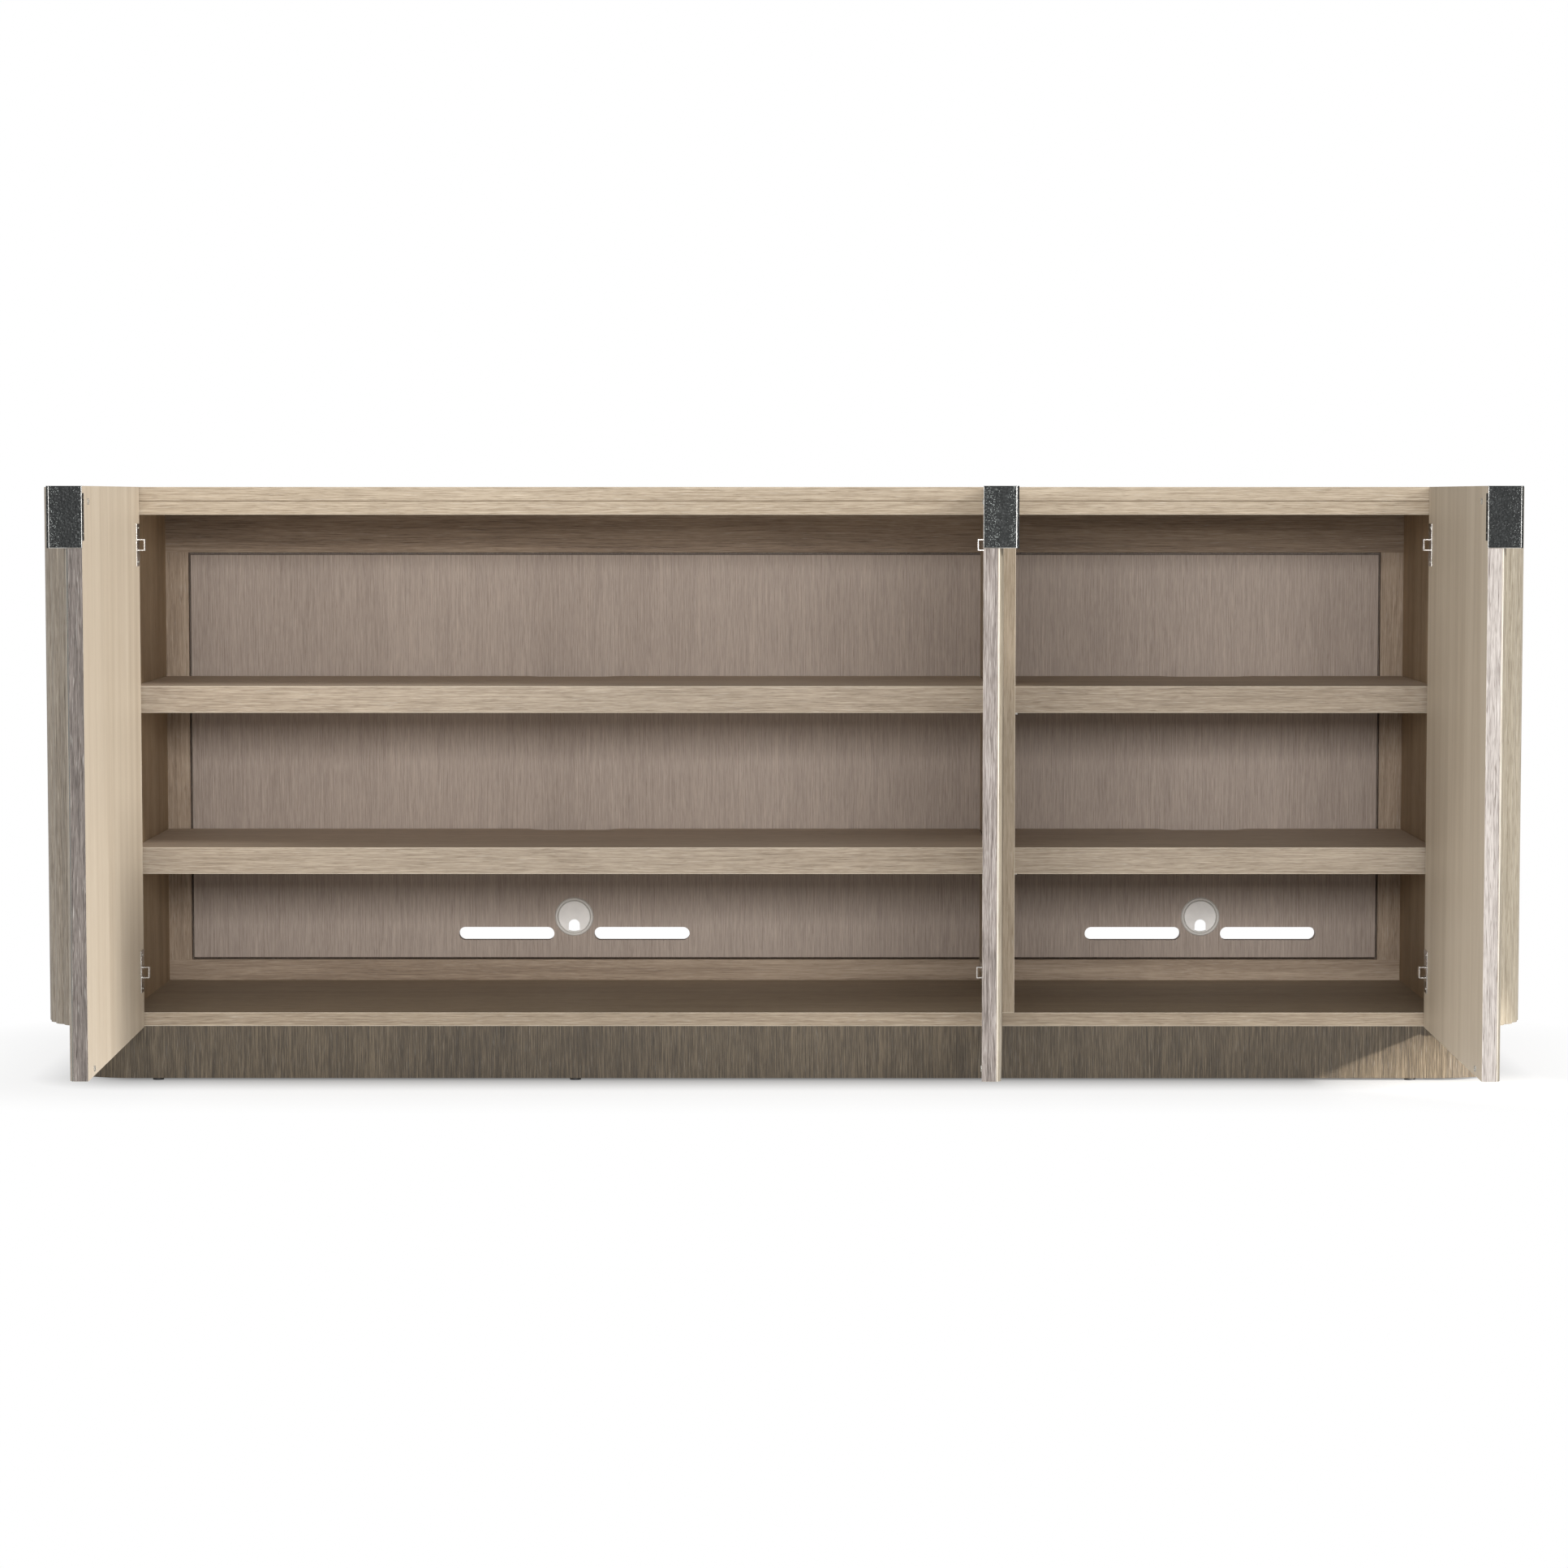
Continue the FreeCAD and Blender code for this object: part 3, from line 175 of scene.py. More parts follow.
def oak(name, axis, dark, mid, light, shift, figure=0.35, pores=0.5, fibre=0.5, wave=1.0,
        fine=1.0, roughness=0.58, relief=0.25):
    """Lime-washed oak with its grain along an axis.

    shift moves the pattern, so that pieces differ. figure is the strength of the growth rings,
    pores of the short open pores and fibre of the fine streaks; wave is how much the grain
    wanders, fine how narrow it is, and relief the depth of its feel, in mm.
    """
    s = Surface(name, roughness, Specular_IOR_Level=0.35)
    origin = (shift, 0.7 * shift, 0.4 * shift)
    drift = s.noise(s.stretched(along(axis, *GRAIN["drift"]), origin), detail=1, output="Color")
    place = s.shift_by(s.place, drift, tuple(wave * WANDER * (letter != axis) for letter in "XYZ"))

    def pattern(kind, narrowing=1.0, start=origin, **settings):
        lengthwise, crosswise = GRAIN[kind]
        scale = along(axis, lengthwise, crosswise * narrowing)
        return s.noise(s.stretched(scale, start, place), **settings)

    rings = pattern("rings", detail=3, roughness=0.62, distortion=0.35)
    tint = pattern("tint", detail=2)
    streak = pattern("streak", fine, detail=4, roughness=0.65)
    hair = pattern("hair", fine, detail=2, roughness=0.6)
    open_pores = pattern("pores", fine, detail=1)
    limed = pattern("lime", fine, start=(0.3 + shift, 0.1, 0.6), detail=2)

    share = MIDDLE
    weights = ((rings, 2.2 * figure), (tint, 1.6 * figure), (streak, 2.6 * fibre), (hair, 2.0 * fibre))
    for layer, weight in weights:
        share = s.math("ADD", share, s.math("MULTIPLY", s.math("SUBTRACT", layer, MIDDLE), weight))
    low = s.mix(s.remap(share, 0.0, MIDDLE), dark, mid)
    wood = s.mix(s.remap(share, MIDDLE, 1.0), low, light)

    pore_share = s.remap(open_pores, 0.62, 0.74, 0.0, 0.75 * pores)
    wood = s.mix(pore_share, wood, s.mix(1.0, wood, PORE_SHADE, "MULTIPLY"))
    lime_share = s.remap(limed, 0.60, 0.76, 0.0, 0.34 * pores)
    wood = s.mix(lime_share, wood, s.mix(0.75, wood, LIME_WHITE))
    s.set("Base Color", wood)
    s.set("Roughness", s.remap(streak, 0.25, 0.75, roughness - 0.08, roughness + 0.12))

    height = s.math("SUBTRACT", s.math("MULTIPLY", streak, 0.6), s.math("MULTIPLY", pore_share, 0.8))
    s.bump(s.math("ADD", height, s.math("MULTIPLY", hair, 0.3)), relief * MM)
    return s.material


def darker(colour, share):
    """A colour with its light cut to a share."""
    return tuple(share * part for part in colour[:3]) + (1,)


def hammered(name, base, fleck, flecks, roughness):
    """Dark metal finish with a hammered skin; flecks is the strength of its small bright flecks, partly
    flake in the paint and partly painted glints.
    """
    s = Surface(name, roughness, Metallic=0.55)
    dimple = s.node("ShaderNodeTexVoronoi", {"Vector": s.place, "Scale": 300.0, "Smoothness": 0.6},
                    feature="SMOOTH_F1").outputs["Distance"]
    coarse = s.noise(s.place, 300, 3, 0.6)
    speck = s.node("ShaderNodeTexVoronoi", {"Vector": s.place, "Scale": 700.0})
    chosen = s.remap(speck.outputs["Color"], 0.58, 0.66)
    glint = s.math("MULTIPLY", s.remap(speck.outputs["Distance"], 0.20, 0.36, 1.0, 0.0), chosen)
    cloud = s.noise(s.place, 30, 3)
    worn = s.mix(s.remap(cloud, 0.3, 0.7, 0.0, 0.4), base, darker(base, 0.75))
    s.set("Base Color", s.mix(s.math("MULTIPLY", glint, flecks), worn, fleck))
    s.set("Roughness", s.remap(coarse, 0.3, 0.7, roughness - 0.12, roughness + 0.14))
    s.bump(s.math("ADD", dimple, s.math("MULTIPLY", coarse, 0.5)), 0.9 * MM)
    return s.material


def plated(name, base, roughness, brushed):
    """Bright plated metal with stains and a faint brushed grain; brushed is its depth, in mm."""
    s = Surface(name, roughness, Metallic=1.0)
    lines = s.noise(s.stretched((1500, 1500, 60)), 1, 3, 0.6)
    stain = s.noise(s.place, 160, 4, 0.6)
    s.set("Base Color", s.mix(s.remap(stain, 0.35, 0.75, 0.0, 0.6), base, darker(base, 0.72)))
    s.set("Roughness", s.remap(s.math("ADD", lines, stain), 0.7, 1.3, roughness, roughness + 0.2))
    s.bump(lines, brushed * MM)
    return s.material


def moulded(name, base, roughness, **sockets):
    """Moulded plastic with a fine spark-eroded grain and slight unevenness of colour."""
    s = Surface(name, roughness, **sockets)
    cloud = s.noise(s.place, 45, 3)
    fine = s.noise(s.place, 2200, 2, 0.6)
    s.set("Base Color", s.mix(s.remap(cloud, 0.35, 0.7), base, darker(base, 0.9)))
    s.set("Roughness", s.remap(fine, 0.3, 0.7, roughness - 0.06, roughness + 0.1))
    s.bump(fine, 0.05 * MM)
    return s.material


CASE_TONES = (tone(140, 123, 100), tone(178, 162, 141), tone(206, 191, 169))
# painted shade: a darker copy of the case oak for the bottom board, standing in for the doors' shade on it
BASE_SHADE_TONES = (tone(122, 106, 86), tone(158, 142, 122), tone(186, 170, 149))
# painted shade: a darker, warmer copy of the case oak for the inner side walls, standing in for the shade
# and warm bounced light inside the case
WALL_SHADE_TONES = (tone(120, 99, 74), tone(164, 141, 112), tone(192, 169, 140))
SHELF_TONES = (tone(128, 113, 95), tone(168, 153, 135), tone(196, 182, 163))
# painted light: a lighter copy of the shelf oak for the shelves' top and under faces
SHELF_FLAT_LIT_TONES = (tone(142, 127, 109), tone(188, 172, 155), tone(214, 200, 182))
DOOR_TONES = (tone(182, 166, 144), tone(203, 188, 167), tone(219, 206, 186))
# The door edges differ partly as separate pieces of wood and partly as painted light and shade: the left
# edge is darkened as if in shade, the right lightened as if lit.
EDGE_LIT_AND_SHADED_TONES = {
    "left": (tone(68, 61, 57), tone(100, 92, 87), tone(132, 123, 117)),
    "middle": (tone(88, 79, 73), tone(140, 130, 124), tone(182, 173, 167)),
    "right": (tone(122, 112, 106), tone(178, 169, 163), tone(206, 198, 192)),
}
# The fluted oak differs by side partly as separate pieces of wood and partly as painted light and shade:
# the left is darkened as if in shade, the right lightened as if lit; the doors' facings take these too.
FLUTED_LIT_AND_SHADED_TONES = {
    "left": (tone(98, 88, 77), tone(150, 139, 125), tone(182, 171, 156)),
    "right": (tone(118, 107, 91), tone(162, 151, 133), tone(192, 182, 163)),
}
BACK_TONES = (tone(142, 127, 116), tone(173, 158, 147), tone(199, 184, 171))
# painted shade: a darker, warmer copy of the back's oak for the back's rails and stiles, standing in for
# the shade and warm bounced light inside the case
RAIL_SHADE_TONES = (tone(116, 97, 79), tone(161, 141, 121), tone(194, 175, 154))
PLINTH_TONES = (tone(48, 40, 30), tone(80, 69, 54), tone(116, 103, 84))
# painted highlight: a pale oak on the eased edges of the boards, standing in for the light that the
# roundings catch
EDGE_HIGHLIGHT_TONES = (tone(196, 183, 162), tone(216, 204, 184), tone(230, 220, 204))
# painted highlight on the rounded long edges of the middle and right doors' facings
CORNER_HIGHLIGHT_TONES = (tone(222, 213, 199), tone(240, 234, 223), tone(250, 246, 238))
# painted shade on the rounded long edges of the left door's facing
LEFT_CORNER_SHADE_TONES = (tone(58, 62, 64), tone(84, 90, 92), tone(108, 112, 113))
# painted shade: a dark oak on the back panel's rounded edges, standing in for the shadow in the groove
# round it
GROOVE_SHADE_TONES = (tone(46, 36, 27), tone(62, 50, 38), tone(84, 70, 56))
# painted shade: a darker oak on the roundings at the seam between the top boards, standing in for the
# shadow in the seam
JOINT_SHADE_TONES = (tone(84, 70, 52), tone(122, 105, 84), tone(150, 134, 112))

CASE_X = oak("oak_case_lengthwise", "X", *CASE_TONES, shift=1.7, wave=0.8, pores=0.7, fibre=0.65,
             figure=0.2, fine=1.5)
BASE_X_SHADED = oak("oak_base_lengthwise_painted_shade", "X", *BASE_SHADE_TONES, shift=6.7, wave=0.8, pores=0.7, fibre=0.65,
             figure=0.2, fine=1.5)
CASE_Z = oak("oak_case_upright", "Z", *CASE_TONES, shift=4.1, fibre=0.45)
WALL_Z_SHADED = oak("oak_wall_upright_painted_shade", "Z", *WALL_SHADE_TONES, shift=5.9, fibre=0.6, fine=1.4)
SHELF_X = oak("oak_shelf_lengthwise", "X", *SHELF_TONES, shift=7.3, wave=0.8, pores=0.7, fibre=0.65,
              figure=0.2, fine=1.5)
SHELF_FLAT_LIT = oak("oak_shelf_flat_painted_light", "X", *SHELF_FLAT_LIT_TONES, shift=1.3, wave=0.8, pores=0.7, fibre=0.6,
                figure=0.2, fine=1.4)
DOOR_Z = oak("oak_door_face", "Z", *DOOR_TONES, shift=2.9, fibre=0.35, pores=0.12, figure=0.5, fine=1.5,
             roughness=0.5, relief=0.08)
DOOR_EDGE_LIT_AND_SHADED = {
    door: oak(f"oak_door_edge_lit_and_shaded_{door}", "Z", *tones, shift=5.3 + number, fibre=0.85, pores=1.1, wave=0.5,
              fine=1.3, relief=0.5)
    for number, (door, tones) in enumerate(EDGE_LIT_AND_SHADED_TONES.items())
}
FLUTED_Z_LIT_AND_SHADED = {
    side: oak(f"oak_fluted_lit_and_shaded_{side}", "Z", *tones, shift=3.7 + number, fibre=0.7, pores=0.8, figure=0.2,
              wave=0.25, fine=1.5, relief=0.3)
    for number, (side, tones) in enumerate(FLUTED_LIT_AND_SHADED_TONES.items())
}
BACK_Z = oak("oak_back_upright", "Z", *BACK_TONES, shift=6.1, fibre=0.6, pores=0.5, figure=0.16,
             wave=0.5, fine=2.0, relief=0.12)
RAIL_X_SHADED = oak("oak_rail_lengthwise_painted_shade", "X", *RAIL_SHADE_TONES, shift=8.9, wave=1.5, figure=0.6, pores=0.6, fine=1.5)
RAIL_Z_SHADED = oak("oak_stile_upright_painted_shade", "Z", *RAIL_SHADE_TONES, shift=9.7, figure=0.4, pores=0.8, fine=1.3)
PLINTH_Z = oak("oak_plinth_upright", "Z", *PLINTH_TONES, shift=0.9, fibre=0.85, pores=0.35, figure=0.25,
               wave=0.3, fine=1.9, roughness=0.45, relief=0.2)
EDGE_HIGHLIGHT = oak("oak_eased_edge_painted_highlight", "X", *EDGE_HIGHLIGHT_TONES, shift=5.9, fibre=0.3, pores=0.2, roughness=0.4)
GROOVE_SHADE = oak("oak_groove_painted_shade", "X", *GROOVE_SHADE_TONES, shift=2.2, fibre=0.4, pores=0.2, roughness=0.7)
# The facings' rounded edges: painted shade on the left door's, painted highlight on the middle and right
# doors'.
FACING_SHADE_AND_HIGHLIGHT = {
    "left": oak("oak_left_corner_painted_shade", "Z", *LEFT_CORNER_SHADE_TONES, shift=4.2, fibre=0.4, pores=0.2),
    "right": oak("oak_corner_painted_highlight", "Z", *CORNER_HIGHLIGHT_TONES, shift=6.4, fibre=0.4, pores=0.3),
}
JOINT_SHADE = oak("oak_joint_painted_shade", "X", *JOINT_SHADE_TONES, shift=3.2, fibre=0.4, pores=0.2, roughness=0.7)
GRAPHITE = hammered("graphite_hammered", tone(32, 34, 34), tone(190, 196, 192), 0.6, 0.5)
# painted highlight: a bright plated metal on the pulls' chamfers, standing in for the light they catch
GRAPHITE_RIM_HIGHLIGHT = plated("graphite_rim_painted_highlight", tone(206, 204, 200), 0.3, 0.02)
NICKEL = plated("nickel_plate", tone(205, 202, 198), 0.16, 0.01)
ZINC = plated("zinc_plate", tone(196, 194, 186), 0.28, 0.015)
RING = moulded("grommet_plastic", tone(220, 217, 211), 0.3)
CAP = moulded("grommet_cap_plastic", tone(252, 249, 245), 0.38)
NYLON = moulded("foot_nylon", tone(34, 34, 36), 0.5)
BUMPER = moulded("bumper_silicone", tone(222, 222, 218), 0.18, Transmission_Weight=0.7, IOR=1.42)


# ---- Boards with eased edges ----------------------------------------------------------------------

COPLANAR = 0.4  # degrees between faces that are taken as one
SMOOTH = 35  # degrees up to which faces are shaded as one surface
SHARP = 40  # degrees over which an edge is eased


def welded(node):
    """A CAD node's mesh with its split corners joined and its flat faces made whole."""
    mesh = bmesh.new()
    mesh.from_mesh(nodes[node].data)
    bmesh.ops.remove_doubles(mesh, verts=mesh.verts, dist=WELD)
    bmesh.ops.dissolve_limit(mesh, angle_limit=math.radians(COPLANAR), verts=mesh.verts,
                             edges=mesh.edges, use_dissolve_boundaries=False)
    return mesh


def dress(mesh, name, node, materials):
    """Make a bmesh an object that stands for a CAD node and moves with its body."""
    data = bpy.data.meshes.new(name)
    mesh.to_mesh(data)
    mesh.free()
    for material in materials:
        data.materials.append(material)
    data.shade_smooth()
    data.set_sharp_from_angle(angle=math.radians(SMOOTH))
    thing = bpy.data.objects.new(name, data)
    bpy.context.scene.collection.objects.link(thing)
    weighted = thing.modifiers.new("weighted_normals", "WEIGHTED_NORMAL")
    weighted.keep_sharp = True
    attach(thing, BODY_OF[node])
    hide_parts(node)
    return thing


def eased(node, width, shortest, material, trim, edge_material=None, plane=None, seam=None):
    """Round a board's sharp edges over, but for the shortest; the rounding takes the trim material.

    Where an edge material is given, it goes on each face that doesn't look along plane. A rounding
    at the height of a seam takes the joint material instead, a darker oak that paints the shade in
    the seam.
    """
    mesh = welded(node)
    if edge_material:
        for face in mesh.faces:
            if abs(face.normal.dot(plane)) < 0.7:
                face.material_index = 2
    sharp = [
        edge for edge in mesh.edges
        if len(edge.link_faces) == 2
        and edge.is_convex
        and edge.calc_face_angle(0) > math.radians(SHARP)
        and edge.calc_length() > shortest
    ]
    bmesh.ops.bevel(mesh, geom=sharp, offset=width, offset_type="OFFSET", segments=2, profile=0.5,
                    affect="EDGES", clamp_overlap=True, material=1)
    if seam is not None:
        for face in mesh.faces:
            if face.material_index == 1 and abs(face.calc_center_median().z - seam) < 2 * width:
                face.material_index = 2
    dress(mesh, node + "_eased", node, [material, trim, edge_material or JOINT_SHADE])


def rimmed(node, width, depth, material, rim):
    """Chamfer a plate's front outline; all but its top takes the rim material, a painted highlight."""
    mesh = welded(node)
    front = max(mesh.faces, key=lambda face: -face.normal.y * face.calc_area())
    ring = bmesh.ops.inset_individual(mesh, faces=[front], thickness=width, use_even_offset=True)["faces"]
    outline = {vertex for face in ring for vertex in face.verts} - set(front.verts)
    back = -front.normal * depth
    for vertex in outline:
        vertex.co += back
    mesh.normal_update()
    for face in ring:
        # painted highlight: the bright rim goes on every chamfer face but the top's, where it would read
        # as lit
        if face.normal.z < 0.3:
            face.material_index = 1
    dress(mesh, node + "_rimmed", node, [material, rim])


def door_normal(door):
    """The direction that a door's inner face looks in at rest."""
    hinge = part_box(f"door_{door}_hinge_pins")
    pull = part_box(f"door_{door}_pull")
    reach = (pull[0] + pull[1]) / 2 - (hinge[0] + hinge[1]) / 2
    return Vector((-reach.y, reach.x, 0)).normalized()


def boards():
    """Case boards, shelves, doors and hinge parts with eased edges, pulls with a rim; each width is
    followed by the shortest edge.
    """
    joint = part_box("top_panel")[0].z
    for node in ("top_panel", "sub_top"):
        eased(node, 0.6 * MM, 8 * MM, CASE_X, EDGE_HIGHLIGHT, seam=joint)
    eased("bottom_panel", 0.7 * MM, 8 * MM, BASE_X_SHADED, EDGE_HIGHLIGHT)
    eased("back_panel", 1.1 * MM, 300 * MM, BACK_Z, GROOVE_SHADE)
    eased("centre_divider", 0.8 * MM, 20 * MM, CASE_Z, EDGE_HIGHLIGHT)
    up = Vector((0, 0, 1))
    # The shelves' flat faces take the lighter copy of their oak, painted light; their edges take the plain
    # shelf oak.
    for level in ("upper", "lower"):
        for side in ("left", "right"):
            eased(f"shelf_{level}_{side}", 1.0 * MM, 1.5 * MM, SHELF_FLAT_LIT, EDGE_HIGHLIGHT, SHELF_X, up)
    for door in DOORS:
        normal = door_normal(door)
        eased(f"door_{door}_panel", 1.1 * MM, 1.5 * MM, DOOR_Z, EDGE_HIGHLIGHT, DOOR_EDGE_LIT_AND_SHADED[door], normal)
        # The middle and right doors take the right side's lighter fluted oak and painted highlight; the
        # left door takes the darker oak and painted shade.
        side = "left" if door == "left" else "right"
        eased(f"door_{door}_facing", 2.0 * MM, 400 * MM, FLUTED_Z_LIT_AND_SHADED[side], FACING_SHADE_AND_HIGHLIGHT[side])
        rimmed(f"door_{door}_pull", 0.6 * MM, 0.5 * MM, GRAPHITE, GRAPHITE_RIM_HIGHLIGHT)
        eased(f"door_{door}_hinge_cups", 0.35 * MM, 1.2 * MM, NICKEL, NICKEL)
    for node in ("hinge_arms", "hinge_plates"):
        eased(node, 0.4 * MM, 1.5 * MM, NICKEL, NICKEL)


# ---- Screws ---------------------------------------------------------------------------------------

HEAD_HEIGHT = 1.2 * MM
POINT_LENGTH = 1.5 * MM
FLAT = 0.05 * MM  # within which corners belong to one end of a screw
SCREW_STEPS = 28
RECESS_TURN = 0.7  # radians between the recesses of neighbouring screws


def islands(node):
    """The corners of each separate solid of a node, as lists of vectors."""
    mesh = bmesh.new()
    mesh.from_mesh(nodes[node].data)
    bmesh.ops.remove_doubles(mesh, verts=mesh.verts, dist=WELD)
    found, seen = [], set()
    for start in mesh.verts:
        if start in seen:
            continue
        seen.add(start)
        island, queue = [], [start]
        while queue:
            vertex = queue.pop()
            island.append(vertex.co.copy())
            for edge in vertex.link_edges:
                other = edge.other_vert(vertex)
                if other not in seen:
                    seen.add(other)
                    queue.append(other)
        found.append(island)
    mesh.free()
    return found


def turned(mesh, profile, steps, place):
    """Add a closed solid of revolution about Z; profile runs from axis to axis as (radius, height)."""
    rings = []
    for radius, height in profile:
        count = steps if radius > 0 else 1
        ring = []
        for step in range(count):
            angle = 2 * math.pi * step / count
            corner = Vector((radius * math.cos(angle), radius * math.sin(angle), height))
            ring.append(mesh.verts.new(place @ corner))
        rings.append(ring)
    for first, second in zip(rings, rings[1:]):
        for step in range(steps):
            after = (step + 1) % steps
            quad = [first[step % len(first)], first[after % len(first)],
                    second[after % len(second)], second[step % len(second)]]
            corners = list(dict.fromkeys(quad))
            if len(corners) > 2:
                mesh.faces.new(corners)


def cross_cut(mesh, wide, long, deep, place):
    """A tapered cross, as the recess of a screw's head."""
    for turn in (0, math.pi / 2):
        arm = []
        for height, taper in ((0.3 * MM, 1.0), (-deep, 0.45)):
            for x, y in ((1, 1), (-1, 1), (-1, -1), (1, -1)):
                corner = Vector((x * long * taper / 2, y * wide * taper / 2, height))
                arm.append(mesh.verts.new(place @ Matrix.Rotation(turn, 4, "Z") @ corner))
        for ring in ((0, 1, 2, 3), (7, 6, 5, 4)):
            mesh.faces.new([arm[number] for number in ring])
        for number in range(4):
            after = (number + 1) % 4
            mesh.faces.new([arm[number], arm[number + 4], arm[after + 4], arm[after]])


def screw_place(island):
    """Where a level screw's head ends and which way it looks, its length, and its head and shank radii."""
    best, axis = 0.0, Vector((0, 0, 1))
    for degrees in range(180):
        direction = Vector((math.cos(math.radians(degrees)), math.sin(math.radians(degrees)), 0))
        reach = [corner.dot(direction) for corner in island]
        across = direction.cross(Vector((0, 0, 1)))
        spread = [corner.dot(across) for corner in island]
        length = (max(reach) - min(reach)) - (max(spread) - min(spread))
        if length > best:
            best, axis = length, direction
    reach = [corner.dot(axis) for corner in island]
    ends = []
    for end in (max(reach), min(reach)):
        face = [corner for corner, here in zip(island, reach) if abs(here - end) < FLAT]
        middle = sum(face, Vector()) / len(face)
        ends.append((max((corner - middle).length for corner in face), middle))
    head = max(ends, key=lambda item: item[0])
    tail = min(ends, key=lambda item: item[0])
    outward = (head[1] - tail[1]).normalized()
    return head[1], outward, (head[1] - tail[1]).length, head[0], tail[0]


def screws(node):
    """Pan-head screws with cross recesses, in the places of a node's plain ones."""
    heads, recesses = bmesh.new(), bmesh.new()
    for number, island in enumerate(islands(node)):
        spot, outward, length, radius, shank = screw_place(island)
        turn = outward.to_track_quat("Z", "Y").to_matrix().to_4x4()
        place = Matrix.Translation(spot) @ turn @ Matrix.Rotation(RECESS_TURN * number, 4, "Z")
        profile = [
            (0, 0), (0.55 * radius, -0.02 * MM), (0.86 * radius, -0.28 * HEAD_HEIGHT),
            (radius, -0.7 * HEAD_HEIGHT), (radius, -HEAD_HEIGHT), (shank, -HEAD_HEIGHT),
            (shank, POINT_LENGTH - length), (0, -length),
        ]
        turned(heads, profile, SCREW_STEPS, place)
        cross_cut(recesses, wide=0.9 * MM, long=3.4 * MM, deep=0.85 * MM, place=place)
    for mesh in (heads, recesses):
        bmesh.ops.recalc_face_normals(mesh, faces=mesh.faces)
    cutter_data = bpy.data.meshes.new(node + "_recesses")
    recesses.to_mesh(cutter_data)
    recesses.free()
    cutter = bpy.data.objects.new(node + "_recesses", cutter_data)
    bpy.context.scene.collection.objects.link(cutter)
    thing = dress(heads, node + "_cross_head", node, [ZINC])
    hollow = thing.modifiers.new("recesses", "BOOLEAN")
    hollow.operation = "DIFFERENCE"
    hollow.solver = "EXACT"
    hollow.use_self = True
    hollow.object = cutter
    bake(thing)
    bpy.data.objects.remove(cutter)


def bake(thing):
    """Put a piece's modifiers into its mesh."""
    bpy.context.view_layer.update()
    graph = bpy.context.evaluated_depsgraph_get()
    data = bpy.data.meshes.new_from_object(thing.evaluated_get(graph))
    thing.modifiers.clear()
    thing.data = data


# ---- Finishes of the CAD nodes --------------------------------------------------------------------

FINISH = {
    "side_wall_left": WALL_Z_SHADED, "side_wall_right": WALL_Z_SHADED, "end_ribs": CASE_Z,
    "fluted_corner_left": FLUTED_Z_LIT_AND_SHADED["left"], "fluted_corner_right": FLUTED_Z_LIT_AND_SHADED["right"],
    "fluted_side_left": FLUTED_Z_LIT_AND_SHADED["left"], "fluted_side_right": FLUTED_Z_LIT_AND_SHADED["right"],
    "back_rail_bottom": RAIL_X_SHADED, "back_rail_top": RAIL_X_SHADED,
    "back_stile_left": RAIL_Z_SHADED, "back_stile_right": RAIL_Z_SHADED,
    "feet": NYLON, "shelf_pins": NICKEL, "grommet_rings": RING,
    "grommet_cap_left": CAP, "grommet_cap_right": CAP,
}
for part in ("front", "back", "side_left", "side_right", "corner_left", "corner_right", "cross_rails"):
    FINISH["plinth_" + part] = PLINTH_Z
for door in DOORS:
    FINISH[f"door_{door}_hinge_pins"] = NICKEL
    FINISH[f"door_{door}_bumpers"] = BUMPER


def finishes():
    """Give the CAD nodes that stay as they are their materials."""
    for node, material in FINISH.items():
        for slot in nodes[node].material_slots:
            slot.material = material


# ---- Stage, light and camera ----------------------------------------------------------------------

FLOOR_REACH = 30
CORE = (0.93, 0.2, 0)  # half size of the dark middle of the cabinet's soft shadow
SHADOW_END = 0.16  # metres from the core at which the floor has its full glow
SHADOW_GLOW = 0.14
FLOOR_GLOW = 0.74
FADE_START = 0.02
FADE_END = 0.40


def floor():
    """A pale floor with a soft painted shadow, which fades into white away from the cabinet."""
    data = bpy.data.meshes.new("floor")
    mesh = bmesh.new()
    bmesh.ops.create_grid(mesh, x_segments=1, y_segments=1, size=FLOOR_REACH)
    mesh.to_mesh(data)
    mesh.free()
    thing = bpy.data.objects.new("floor", data)
    bpy.context.scene.collection.objects.link(thing)
    s = Surface("floor_paint", 0.8, Base_Color=(0.3, 0.3, 0.3, 1), Emission_Color=(1, 1, 1, 1))
    outside = s.vector_math("SUBTRACT", s.vector_math("ABSOLUTE", s.place), CORE)
    outside = s.vector_math("MAXIMUM", outside, (0, 0, 0))
    away = s.vector_math("LENGTH", outside, output="Value")
    s.set("Emission Strength", s.remap(away, 0.0, SHADOW_END, SHADOW_GLOW, FLOOR_GLOW))
    glow = s.node("ShaderNodeEmission", {"Color": (1, 1, 1, 1), "Strength": 1.0}).outputs[0]
    fade = s.remap(away, FADE_START, FADE_END)
    blend = s.node("ShaderNodeMixShader", {0: fade, 1: s.shader.outputs[0], 2: glow})
    s.tree.links.new(blend.outputs[0], s.tree.nodes["Material Output"].inputs["Surface"])
    data.materials.append(s.material)


def world(fill):
    """White to the eye, and a softer fill on the cabinet."""
    scene = bpy.context.scene
    scene.world = bpy.data.worlds.new("studio")
    scene.world.use_nodes = True
    tree = scene.world.node_tree
    background = tree.nodes["Background"]
    background.inputs["Color"].default_value = (1, 1, 1, 1)
    seen = tree.nodes.new("ShaderNodeLightPath").outputs["Is Camera Ray"]
    level = tree.nodes.new("ShaderNodeMapRange")
    level.inputs["To Min"].default_value = fill
    level.inputs["To Max"].default_value = 1.0
    tree.links.new(seen, level.inputs["Value"])
    tree.links.new(level.outputs["Result"], background.inputs["Strength"])


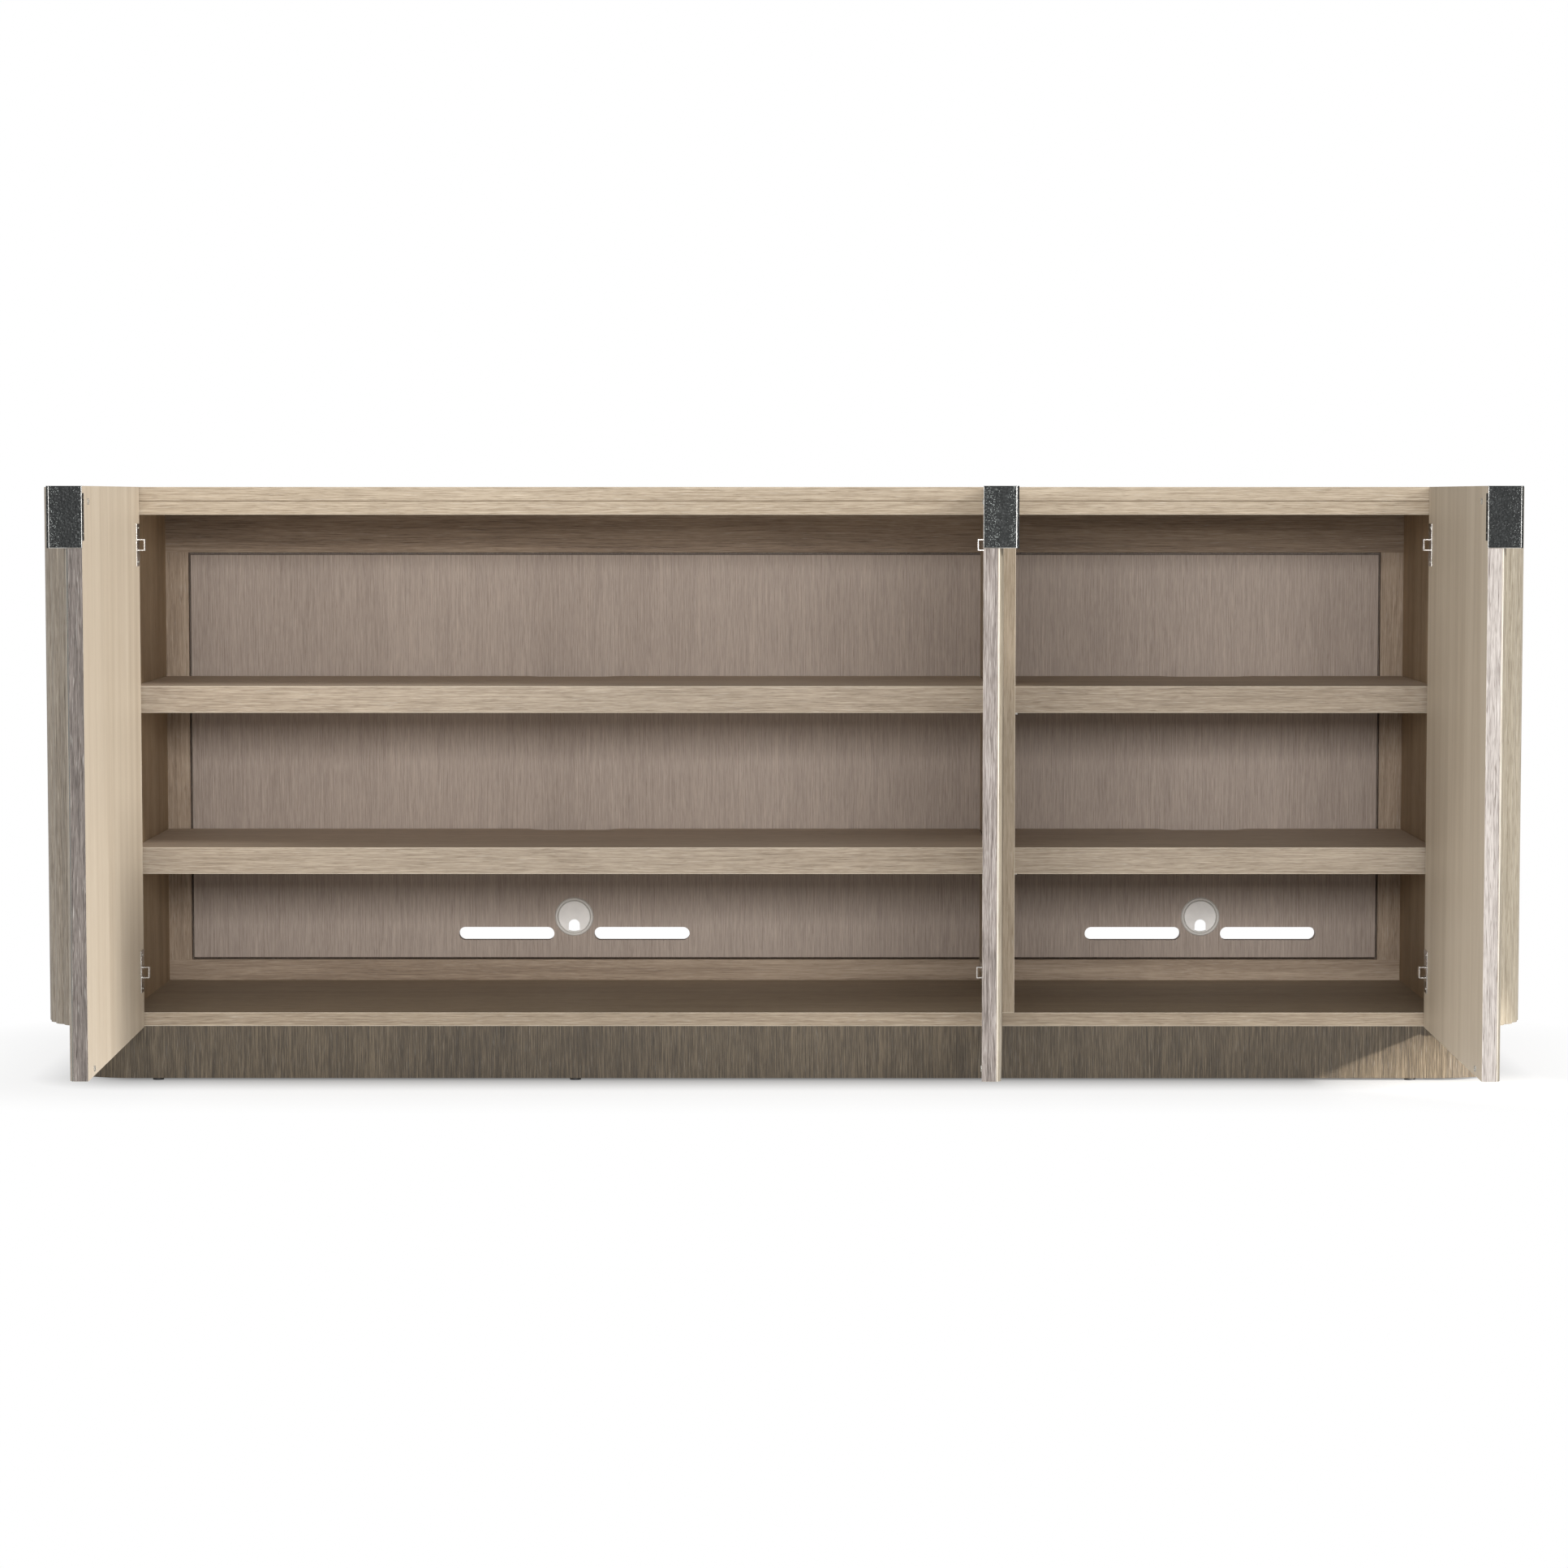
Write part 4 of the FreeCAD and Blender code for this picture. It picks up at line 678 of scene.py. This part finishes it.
def aim(thing, place, target):
    thing.location = place
    thing.rotation_euler = (Vector(target) - Vector(place)).to_track_quat("-Z", "Y").to_euler()


def lamp(kind, name, place, target, power, **settings):
    """A lamp of a kind at a place, aimed at a target."""
    data = bpy.data.lights.new(name, kind)
    data.energy = power
    for key, value in settings.items():
        setattr(data, key, value)
    thing = bpy.data.objects.new(name, data)
    bpy.context.scene.collection.objects.link(thing)
    aim(thing, place, target)


def lights():
    """Two suns as distant softboxes, a long panel in front, and a spot on the plinth's right end."""
    world(fill=0.20)
    here = (0, 0, 0)
    lamp("SUN", "key_right", (1, -0.28, 0.454), here, 2.1,
         angle=math.radians(10), color=(1, 0.985, 0.96))
    lamp("SUN", "fill_left", (-1, -0.6, 0.5), here, 0.55,
         angle=math.radians(20), color=(0.96, 0.98, 1))
    lamp("AREA", "front", (0.15, -6.2, 1.52), (0, 0, 0.45), 205,
         shape="RECTANGLE", size=3.0, size_y=0.95)
    lamp("SPOT", "low_right", (2.25, -1.4, 0.62), (0.85, -0.2, -0.06), 620,
         spot_size=math.radians(8), spot_blend=0.7, shadow_soft_size=0.08, color=(1, 0.97, 0.92))


CAMERA_PLACE = (0.011, -6.7727, 0.8361)
CAMERA_DIP = 4.343  # degrees below level
CAMERA_TURN = 0.096  # degrees to the left
SENSOR_MM = 36
LENS_MM = 105.1118
SHIFT_UP = 0.0385
SIGHT = 100  # metres


def camera():
    lens = bpy.data.cameras.new("camera")
    lens.sensor_width = SENSOR_MM
    lens.lens = LENS_MM
    lens.shift_y = SHIFT_UP
    lens.clip_end = SIGHT
    thing = bpy.data.objects.new("camera", lens)
    bpy.context.scene.collection.objects.link(thing)
    thing.location = CAMERA_PLACE
    thing.rotation_euler = (math.radians(90 - CAMERA_DIP), 0, math.radians(CAMERA_TURN))
    scene = bpy.context.scene
    scene.camera = thing
    scene.view_settings.view_transform = "Standard"
    scene.view_settings.look = "None"


boards()
for node in ("back_screws", "hinge_plate_screws", *(f"door_{door}_screws" for door in DOORS)):
    screws(node)
finishes()
floor()
lights()
camera()
